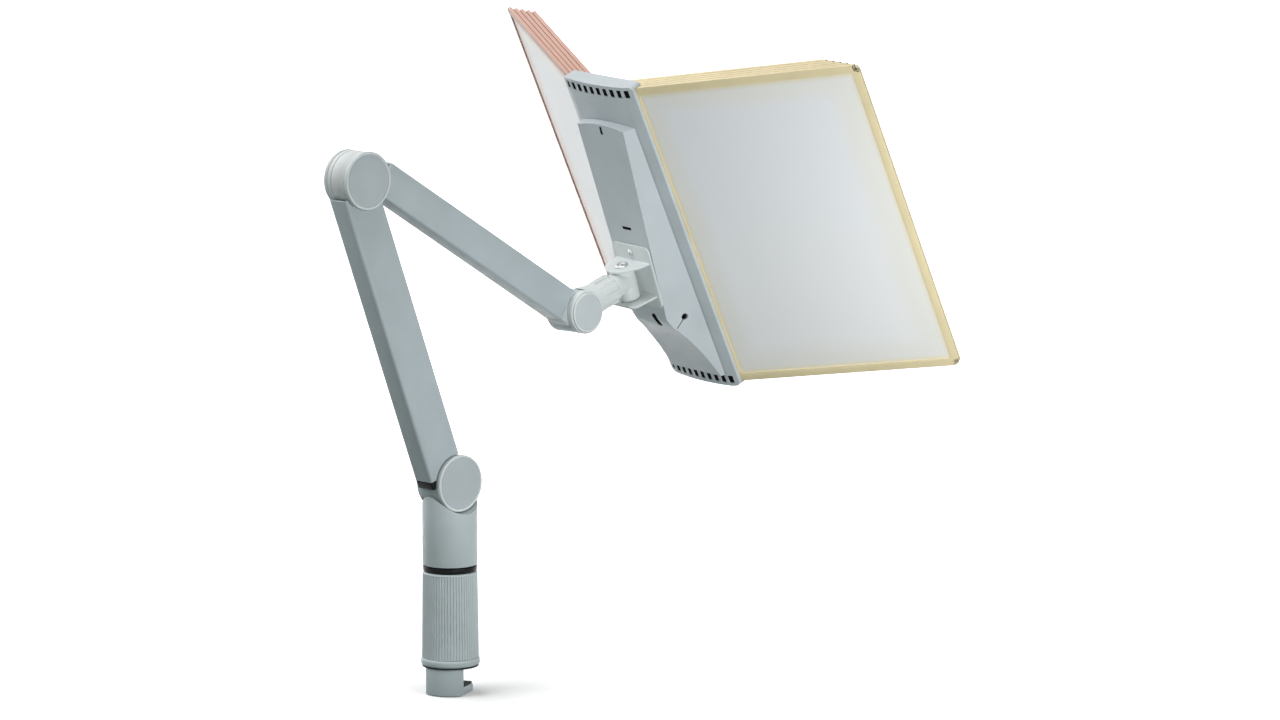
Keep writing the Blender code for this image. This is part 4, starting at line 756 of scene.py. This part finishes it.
plate_screw = lathe([
    (-0.0075, 0.0018), (0, 0.0018), (0, 0.0034), (0.0005, 0.0034), (0.0010, 0.0029),
    (0.0013, 0.0020), (0.0014, 0.0010),
], sides=40)
carve(
    plate_screw, slab((-CROSS_LONG, -CROSS_WIDE, CROSS_LOW), (CROSS_LONG, CROSS_WIDE, CROSS_HIGH)),
    slab((-CROSS_WIDE, -CROSS_LONG, CROSS_LOW), (CROSS_WIDE, CROSS_LONG, CROSS_HIGH)),
)
for height, place_name in ((SCREW_UPPER, "upper"), (SCREW_LOWER, "lower")):
    seat = Matrix.Translation((0, SCREW_SEAT, height)) @ Matrix.Rotation(math.pi / 2, 4, "X")
    screw = settle(twin(plate_screw), clevis_stand @ seat)
    dress(screw, f"plate_screw_{place_name}", zinc_steel, "holder", [f"clevis_screw_{place_name}"])
bpy.data.objects.remove(plate_screw)


# Spine: the long moulded tray that the leaves hang in. Its back is bowed between two bevelled edges, and
# a row of ten slots at each end shows where the leaf pins snap in. A black sheet in each slot is painted
# shadow.
LEAF_PITCH = 0.00972
SPINE_RISE, SPINE_BACK, SPINE_FLOOR = 0.0256, 0.0428, 0.0450
BOW_HALF, BOW_DEPTH, BEVEL_SLOPE = 0.042, 0.0028, 0.37
SLOT_MIDDLE, SLOT_SHADOW_HALF, SLOT_SHADOW_TALL = 0.1520, 0.0028, 0.0036
SLOT_SHADOW_SINK, SLOT_SHADOW_RAISE = 0.0005, 0.0003
spine_stand = stand(clevis_pin, spine_across, joints["leaf_06_turn"]["axis"])


def recast(node):
    """A merged copy of a solid, free of its body, for finer work."""
    made = twin(frame["nodes"][node])
    made.parent = None
    made.matrix_world = Matrix()
    return clean(made)


def gather(first, *others):
    """Joins loose pieces into one."""
    only(first)
    for other in others:
        other.select_set(True)
    bpy.ops.object.join()
    return first


spine_moulding = moulding("spine_moulding", (0.60, 0.655, 0.685), 0.36, edge_wear_and_highlight=0.6)
spine = recast("spine_shell")
soften(spine, 0.0007, segments=2, angle=28)
dress(spine, "leaf_spine", spine_moulding, "holder", ["spine_shell"], even=True)

# Black sheets just behind the slots, bowed like the back: painted shadow for the dark inside each slot.
slot_shadows = []
for end in (1, -1):
    for number in range(10):
        middle = (number - 4.5) * LEAF_PITCH
        low = SPINE_RISE + end * SLOT_MIDDLE - SLOT_SHADOW_TALL + SLOT_SHADOW_RAISE
        slot_shadow = slab(
            (middle - SLOT_SHADOW_HALF, SPINE_BACK + SLOT_SHADOW_SINK, low),
            (middle + SLOT_SHADOW_HALF, SPINE_FLOOR + SLOT_SHADOW_SINK, low + 2 * SLOT_SHADOW_TALL),
        )
        for corner in slot_shadow.data.vertices:
            beyond = abs(corner.co.x) - BOW_HALF
            bow = -BOW_DEPTH * (1 - (corner.co.x / BOW_HALF) ** 2)
            corner.co.y += BEVEL_SLOPE * beyond if beyond > 0 else bow
        slot_shadows.append(slot_shadow)
slot_pads = settle(gather(*slot_shadows), spine_stand)
# A matt black used only as painted shadow inside slots and holes.
black_felt = moulding(
    "black_felt", (0.006, 0.006, 0.007), 0.9, grain=2600, relief=0.4, cloud=0.3, edge_wear_and_highlight=0.0, shine=0.03,
)
dress(slot_pads, "slot_pads", black_felt, "holder", [])


# Cover: the raised wedge on the spine's back, moulded in one piece and clipped on. It has a flat face
# for the clevis, drafted flanks, a scooped foot and holes for hanging the holder on a wall. Black sheets in
# the holes are painted shadow.
FACE_DEPTH, FACE_SLOPE = 0.01599, 0.1087
FLANK_DRAFT, FLANK_INNER = 0.424, 0.02
SCOOP_TOP, SCOOP_SKIN = -0.0365, 0.0036
SCOOP_LINE = (
    (-0.0360, 0.0121, 0.0), (-0.0458, 0.0179, 0.0069), (-0.0559, 0.0230, 0.0090),
    (-0.0662, 0.0273, 0.0076), (-0.0767, 0.0310, 0.0064), (-0.0875, 0.0339, 0.0052),
    (-0.0984, 0.0361, 0.0038), (-0.1096, 0.0376, 0.0021), (-0.1210, 0.0384, 0.0),
)
HOLE_LEFT, HOLE_RIGHT, HOLE_LOW, HOLE_SHIFT = -0.0105, -0.0005, -0.0590, 0.0125
SIDE_HOLE_INNER, SIDE_HOLE_HEIGHT, SIDE_HOLE_HALF = 0.028, -0.050, 0.0035
SLIT_INNER, SLIT_OUTER, SLIT_HALF, SLIT_LONG = 0.024, 0.040, 0.0006, 0.013
SLIT_DEPTH, SLIT_LEAN = 0.0268, math.radians(-49.7)
DENT_RADIUS, DENT_SHAPE = 0.001, (2.4, 1.1, 19)
DENT_PLACE, DENT_LEAN = (-0.0015, 0.0229, -0.0740), math.radians(-24)


def scoop_at(height):
    """The scoop's depth in the solid at a height, and how much fuller the moulding is there."""
    for upper, lower in zip(SCOOP_LINE, SCOOP_LINE[1:]):
        if height >= lower[0]:
            share = (upper[0] - height) / (upper[0] - lower[0])
            return tuple(a + (b - a) * share for a, b in zip(upper[1:], lower[1:]))
    return SCOOP_LINE[-1][1:]


cover = settle(recast("spine_cover"), spine_stand.inverted())
for corner in cover.data.vertices:
    place = corner.co
    depth, fuller = scoop_at(place.z)
    in_side_hole = place.x > SIDE_HOLE_INNER and abs(place.z - SIDE_HOLE_HEIGHT) < SIDE_HOLE_HALF
    if place.z > SCOOP_TOP or place.y > depth + SCOOP_SKIN or in_side_hole:
        continue
    place.y -= fuller
    if abs(place.x) > FLANK_INNER:
        place.x -= math.copysign(FLANK_DRAFT * fuller, place.x)
    elif HOLE_LEFT < place.x < HOLE_RIGHT and place.z > HOLE_LOW:
        place.x += HOLE_SHIFT
slit = slab((SLIT_INNER, -SLIT_HALF, -SLIT_LONG), (SLIT_OUTER, SLIT_HALF, 0))
slit_place = Matrix.Translation((0, SLIT_DEPTH, SIDE_HOLE_HEIGHT))
settle(slit, slit_place @ Matrix.Rotation(SLIT_LEAN, 4, "X"))
carve(cover, slit)
soften(cover, 0.0009, segments=3, angle=28)
bpy.ops.mesh.primitive_uv_sphere_add(segments=32, ring_count=24, radius=DENT_RADIUS)
dent = bpy.context.object
dent.scale = DENT_SHAPE
settle(dent)
settle(dent, Matrix.Translation(DENT_PLACE) @ Matrix.Rotation(DENT_LEAN, 4, "X"))
carve(cover, dent)
settle(cover, spine_stand)
dress(cover, "wedge_cover", spine_moulding, "holder", ["spine_cover"], even=True)

KEYHOLE, KEYHOLE_RADIUS, KEYHOLE_RAISE = 0.1385, 0.0021, 0.0003
KEYHOLE_HALF, KEYHOLE_TALL = 0.0019, 0.0061
FACE_SLOT_HALF, FACE_SLOT_LOW, FACE_SLOT_HIGH = 0.0068, 0.0418, 0.0446
HOLE_SHADOW_SINK, HOLE_SHADOW_BACK = 0.0006, 0.0024
SCOOP_SHADOW_LEFT, SCOOP_SHADOW_RIGHT = -0.0096, -0.0014
SCOOP_SHADOW_LOW, SCOOP_SHADOW_HIGH = -0.0581, -0.0419
SCOOP_SHADOW_SINK, SCOOP_SHADOW_CORNER = 0.0008, 0.0040
keyhole_middle = (0, 0, KEYHOLE + KEYHOLE_RAISE)
# Black sheets in the keyhole and the face slot: painted shadow for the dark inside them.
hole_shadows = [
    pillar(KEYHOLE_RADIUS, HOLE_SHADOW_SINK, HOLE_SHADOW_BACK, "Y", keyhole_middle, sides=24),
    slab((-KEYHOLE_HALF, HOLE_SHADOW_SINK, KEYHOLE), (KEYHOLE_HALF, HOLE_SHADOW_BACK, KEYHOLE + KEYHOLE_TALL)),
    slab((-FACE_SLOT_HALF, HOLE_SHADOW_SINK, FACE_SLOT_LOW), (FACE_SLOT_HALF, HOLE_SHADOW_BACK, FACE_SLOT_HIGH)),
]
for hole_shadow in hole_shadows:
    for corner in hole_shadow.data.vertices:
        corner.co.y += FACE_DEPTH + FACE_SLOPE * corner.co.z
# A black sheet in the scoop hole: painted shadow.
scoop_shadow = slab(
    (HOLE_SHIFT + SCOOP_SHADOW_LEFT, SCOOP_SHADOW_SINK, SCOOP_SHADOW_LOW),
    (HOLE_SHIFT + SCOOP_SHADOW_RIGHT, HOLE_SHADOW_BACK, SCOOP_SHADOW_HIGH),
)
round_edges(scoop_shadow, along("Y"), SCOOP_SHADOW_CORNER, 6)
for corner in scoop_shadow.data.vertices:
    depth, fuller = scoop_at(corner.co.z)
    corner.co.y += depth - fuller
hole_linings = settle(gather(scoop_shadow, *hole_shadows), spine_stand)
dress(hole_linings, "hole_linings", black_felt, "holder", [])


# Leaf frames: ten slim moulded frames, salmon on the left and pale yellow on the right. Each turns on
# two pins in the spine's ends and is rounded at its outer corners.
LEAF_SPREAD = math.radians(23.7)
LEAF_TALL, LEAF_REACH, LEAF_BACK = 0.156, 0.2375, 0.0026
LEAF_HALF = 0.0017
LEAF_BORDER, LEAF_CORNER, WINDOW_CORNER = 0.008, 0.008, 0.003
LEAF_PIN, LEAF_PIN_HALF = 0.0015, 0.002
PIVOT_DEPTH = 0.0488

leaf_frame = slab((-LEAF_BACK, -LEAF_HALF, -LEAF_TALL), (LEAF_REACH, LEAF_HALF, LEAF_TALL))
pick(leaf_frame, "faces", lambda face: abs(face.normal.y) > 0.99)
bpy.ops.mesh.inset(thickness=LEAF_BORDER, depth=0)
bpy.ops.mesh.bridge_edge_loops()
done()
inner_edge = LEAF_BORDER - LEAF_BACK
pick(leaf_frame, "verts", lambda vertex: abs(vertex.co.x - inner_edge) < 1e-4)
bpy.ops.transform.translate(value=(LEAF_BACK, 0, 0))
done()


def corner_edges(outer):
    """A test for the leaf's corner edges: the outer corners, or those of the window."""
    def chosen(edge):
        if not along("Y")(edge):
            return False
        place = edge.verts[0].co
        at_rim = abs(place.z) > LEAF_TALL - 1e-4
        return (at_rim and place.x > LEAF_REACH - 1e-4) if outer else not at_rim
    return chosen


def face_out(piece):
    """Turns every face of a piece outward."""
    pick(piece, "faces", lambda face: True)
    bpy.ops.mesh.normals_make_consistent(inside=False)
    done()
    return piece


def leaf_place(number):
    """The side of the holder that a leaf is on, and the place of its pivot with its turn at rest."""
    side = -1 if number <= 5 else 1
    place = spine_stand @ Matrix.Translation(((number - 5.5) * LEAF_PITCH, PIVOT_DEPTH, SPINE_RISE))
    return side, place @ Matrix.Rotation(side * LEAF_SPREAD, 4, "Z")


round_edges(leaf_frame, corner_edges(True), LEAF_CORNER, 8)
round_edges(leaf_frame, corner_edges(False), WINDOW_CORNER, 4)
soften(face_out(leaf_frame), 0.0010, segments=3)
pin_ends = [
    pillar(LEAF_PIN, end - LEAF_PIN_HALF, end + LEAF_PIN_HALF, sides=24) for end in (-LEAF_TALL, LEAF_TALL)
]
gather(leaf_frame, *pin_ends)

salmon_moulding = moulding("salmon_moulding", (0.71, 0.425, 0.34), 0.4, edge_wear_and_highlight=0.15)
yellow_moulding = moulding("yellow_moulding", (0.88, 0.75, 0.47), 0.4, edge_wear_and_highlight=0.15)
for number in range(1, 11):
    side, place = leaf_place(number)
    if side < 0:
        place = place @ Matrix.Rotation(math.pi, 4, "Z")
    leaf = settle(twin(leaf_frame), place)
    colour, slot = (salmon_moulding, "salmon_frame") if side < 0 else (yellow_moulding, "yellow_frame")
    body = f"leaf_{number:02d}"
    dress(leaf, f"{body}_rim", colour, body, [f"{body}_frame"], angle=40)
bpy.data.objects.remove(leaf_frame)


# Pockets: a frosted clear sleeve welded into each frame, open below the top bar on the reader's side,
# with a sheet of paper in it. The film's colour holds painted light: a coloured glow beside the rim, the
# rims behind showing through, warm light and shade along the frame, and paper paler below and bluer above.
FILM_HALF, FILM_LAP = 0.0008, 0.001
POCKET_CORNER, POCKET_INSET, POCKET_STEP, STEP_WIDTH = 0.0035, 0.0028, 0.0002, 0.0004
WINDOW_LOW, WINDOW_HIGH = 0.0080, LEAF_REACH - LEAF_BORDER
WINDOW_TALL = LEAF_TALL - LEAF_BORDER
pocket = slab(
    (WINDOW_LOW - FILM_LAP, -FILM_HALF, -WINDOW_TALL - FILM_LAP),
    (WINDOW_HIGH + FILM_LAP, FILM_HALF, WINDOW_TALL + FILM_LAP),
)
round_edges(pocket, along("Y"), POCKET_CORNER, 4)
pick(pocket, "faces", lambda face: face.normal.y > 0.99)
bpy.ops.mesh.inset(thickness=POCKET_INSET, depth=-POCKET_STEP)
bpy.ops.mesh.inset(thickness=STEP_WIDTH, depth=POCKET_STEP)
done()
sheet_map = pocket.data.uv_layers.new(name="sheet")
for loop in pocket.data.loops:
    corner = pocket.data.vertices[loop.vertex_index].co
    sheet_map.data[loop.index].uv = (corner.x, corner.z)


# Painted light on the paper: paler towards the bottom, greyer and bluer towards the top, warm light and shade
# along the frame.
PAPER_LIT_BELOW, PAPER_SHADED_ABOVE, BORDER_LIGHT_AND_SHADE = (0.94, 0.94, 0.94), (0.89, 0.905, 0.935), (0.90, 0.885, 0.84)
PAPER_FROM, PAPER_TO = -0.15, 0.12
BORDER_FROM, BORDER_TO, BORDER_WANDER = 0.004, 0.034, 0.02
BEHIND_FROM, BEHIND_TO = 0.004, 0.048
HAZE_LOW, HAZE_HIGH, FROST, FROST_HEIGHT = 0.38, 0.5, 0.05, 0.0003


def frosted(name, rim_glow_tint, rim_glow_reach, behind):
    """Frosted film over white paper, with painted light: a coloured glow beside the rim, the rims of the
    leaves behind showing through, warm light and shade along the frame, paler below and bluer above.
    """
    made, tree, shader = fresh_finish(name)
    shader.inputs["Coat Weight"].default_value = 0.25
    shader.inputs["Coat Roughness"].default_value = 0.22
    sheet = tree.nodes.new("ShaderNodeUVMap")
    sheet.uv_map = "sheet"
    split = tree.nodes.new("ShaderNodeSeparateXYZ")
    tree.links.new(sheet.outputs["UV"], split.inputs["Vector"])

    def ease(value, start, end):
        return ramp(tree, value, start, end, kind="SMOOTHERSTEP")

    across, upward = split.outputs["X"], split.outputs["Y"]
    from_hinge = reckon(tree, "SUBTRACT", across, WINDOW_LOW)
    from_edge = reckon(tree, "SUBTRACT", WINDOW_HIGH, across)
    from_ends = reckon(tree, "SUBTRACT", WINDOW_TALL, reckon(tree, "ABSOLUTE", upward, 0))
    nearest = reckon(tree, "MINIMUM", reckon(tree, "MINIMUM", from_hinge, from_edge), from_ends)
    cloudy = noise(tree, sheet.outputs["UV"], scale=9, detail=4)
    wander = reckon(tree, "MULTIPLY", reckon(tree, "SUBTRACT", cloudy, 0.5), BORDER_WANDER)
    # Painted light: paler towards the bottom, greyer and bluer towards the top.
    middle = blend(tree, ease(upward, PAPER_FROM, PAPER_TO), PAPER_LIT_BELOW, PAPER_SHADED_ABOVE)
    # Painted warm light and shade along the frame.
    inside = ease(reckon(tree, "ADD", nearest, wander), BORDER_FROM, BORDER_TO)
    lit_and_shaded_paper = blend(tree, inside, BORDER_LIGHT_AND_SHADE, middle)
    # Painted show-through of the rims of the leaves behind, near the outer edge.
    lit_and_shaded_paper = blend(tree, ease(from_edge, BEHIND_FROM, BEHIND_TO), behind, lit_and_shaded_paper)
    # Painted coloured glow beside the rim.
    glowing_beside_rim = blend(tree, ease(nearest, 0.0, rim_glow_reach), rim_glow_tint, lit_and_shaded_paper)
    tree.links.new(glowing_beside_rim, shader.inputs["Base Color"])
    tree.links.new(ramp(tree, cloudy, 0.0, 1.0, HAZE_LOW, HAZE_HIGH), shader.inputs["Roughness"])
    place = tree.nodes.new("ShaderNodeTexCoord").outputs["Object"]
    frost = noise(tree, place, scale=1300, detail=2)
    tree.links.new(bump(tree, frost, FROST, FROST_HEIGHT), shader.inputs["Normal"])
    return made


salmon_film = frosted("salmon_edged_film", (0.79, 0.58, 0.50), 0.013, (0.80, 0.62, 0.55))
yellow_film = frosted("yellow_edged_film", (0.88, 0.82, 0.66), 0.006, BORDER_LIGHT_AND_SHADE)
for number in range(1, 11):
    side, place = leaf_place(number)
    if side < 0:
        place = place @ Matrix.Scale(-1, 4, (1, 0, 0))
    film = face_out(settle(twin(pocket), place))
    coat = salmon_film if side < 0 else yellow_film
    body = f"leaf_{number:02d}"
    dress(film, f"{body}_film", coat, body, [f"{body}_pocket"], even=True)
bpy.data.objects.remove(pocket)


# Studio: a plain white floor just under the jaw, soft light from overhead and from the left, broad lamps
# in front of the holder and at its right, and a long lens at the view of the picture.
FLOOR_SIZE, FLOOR_HEIGHT = 60, -0.0252
FLOOR_SHADE, FLOOR_SEEN = (0.075, 0.105, 0.10), (0.90, 0.90, 0.90)
FADE_FROM, FADE_TO = -0.2, 0.8
SKY_LOW, SKY_LEVEL, SKY_HIGH = (0.10, 0.125, 0.125, 1), (0.125, 0.14, 0.14, 1), (0.36, 0.36, 0.36, 1)
WHITE = (1, 1, 1, 1)
SUN_SPREAD = math.radians(40)
LENS, SENSOR = 148.1, 36
CAMERA_RIGHT, CAMERA_UP = 0.17133, 0.27556
bpy.ops.mesh.primitive_plane_add(size=FLOOR_SIZE, location=(0, 0, FLOOR_HEIGHT))
floor = bpy.context.object
floor.name = "floor"
floor_paint, floor_tree, floor_shader = fresh_finish("floor_paint")


def seen_by_eye(tree):
    """Light Path's answer for rays that the eye sees, also in a gloss or through glass."""
    rays = tree.nodes.new("ShaderNodeLightPath")
    share = rays.outputs["Is Camera Ray"]
    for name in ("Is Glossy Ray", "Is Transmission Ray"):
        share = reckon(tree, "MAXIMUM", share, rays.outputs[name])
    return share


floor_shader.inputs["Roughness"].default_value = 0.9
floor_shader.inputs["Specular IOR Level"].default_value = 0.0
seen = seen_by_eye(floor_tree)
floor_tree.links.new(blend(floor_tree, seen, FLOOR_SHADE, FLOOR_SEEN), floor_shader.inputs["Base Color"])
far = floor_tree.nodes.new("ShaderNodeVectorMath")
far.operation = "LENGTH"
floor_tree.links.new(floor_tree.nodes.new("ShaderNodeTexCoord").outputs["Object"], far.inputs[0])
fade = ramp(floor_tree, far.outputs["Value"], FADE_FROM, FADE_TO, kind="SMOOTHSTEP")
floor_shader.inputs["Emission Color"].default_value = WHITE
white_far = reckon(floor_tree, "MULTIPLY", fade, seen)
floor_tree.links.new(white_far, floor_shader.inputs["Emission Strength"])
floor.data.materials.append(floor_paint)

world = bpy.data.worlds.new("studio")
bpy.context.scene.world = world
world.use_nodes = True
sky = world.node_tree
height = sky.nodes.new("ShaderNodeSeparateXYZ")
sky.links.new(sky.nodes.new("ShaderNodeTexCoord").outputs["Generated"], height.inputs["Vector"])
glow = sky.nodes.new("ShaderNodeValToRGB")
glow.color_ramp.elements[0].position, glow.color_ramp.elements[0].color = 0.0, SKY_LOW
glow.color_ramp.elements[1].position, glow.color_ramp.elements[1].color = 1.0, SKY_HIGH
glow.color_ramp.elements.new(0.5).color = SKY_LEVEL
sky.links.new(height.outputs["Z"], glow.inputs["Fac"])
ambient = sky.nodes["Background"]
sky.links.new(glow.outputs["Color"], ambient.inputs["Color"])
backdrop = sky.nodes.new("ShaderNodeBackground")
backdrop.inputs["Color"].default_value = WHITE
sky_mix = sky.nodes.new("ShaderNodeMixShader")
sky.links.new(seen_by_eye(sky), sky_mix.inputs["Fac"])
sky.links.new(ambient.outputs["Background"], sky_mix.inputs[1])
sky.links.new(backdrop.outputs["Background"], sky_mix.inputs[2])
sky.links.new(sky_mix.outputs["Shader"], sky.nodes["World Output"].inputs["Surface"])

for sun_name, aim, energy in (
    ("side_lamp", (0.852, -0.310, -0.423), 0.75), ("high_lamp", (0.28, 0.06, -0.95), 0.9),
    ("left_lamp", (0.46, 0.40, -0.79), 1.2),
):
    bpy.ops.object.light_add(type="SUN", location=Vector(aim) * -2)
    sun = bpy.context.object
    sun.name = sun_name
    sun.data.energy, sun.data.angle = energy, SUN_SPREAD
    sun.rotation_euler = Vector(aim).to_track_quat("-Z", "Y").to_euler()
for lamp_name, place, target, size, energy in (
    ("right_lamp", (0.60, -0.20, 0.27), (0.10, 0.05, 0.32), 0.30, 1.7),
    ("front_lamp", (0.75, -0.75, 0.20), (0.12, 0.05, 0.24), 0.50, 2.4),
):
    bpy.ops.object.light_add(type="AREA", location=place)
    lamp = bpy.context.object
    lamp.name = lamp_name
    lamp.data.energy, lamp.data.size = energy, size
    lamp.rotation_euler = (Vector(target) - Vector(place)).to_track_quat("-Z", "Y").to_euler()
    lamp.visible_camera = False

AZIMUTH, ELEVATION, DISTANCE = math.radians(20.19), math.radians(8.26), 4.761
backward = Vector((
    math.sin(AZIMUTH) * math.cos(ELEVATION), -math.cos(AZIMUTH) * math.cos(ELEVATION), math.sin(ELEVATION),
))
rightward = Vector((math.cos(AZIMUTH), math.sin(AZIMUTH), 0))
upward = backward.cross(rightward)
bpy.ops.object.camera_add()
camera = bpy.context.object
camera.data.lens, camera.data.sensor_width = LENS, SENSOR
camera.data.clip_end = 100
camera.matrix_world = Matrix((rightward, upward, backward)).transposed().to_4x4()
camera.location = backward * DISTANCE + rightward * CAMERA_RIGHT + upward * CAMERA_UP
bpy.context.scene.camera = camera
bpy.context.scene.view_settings.view_transform = "Standard"
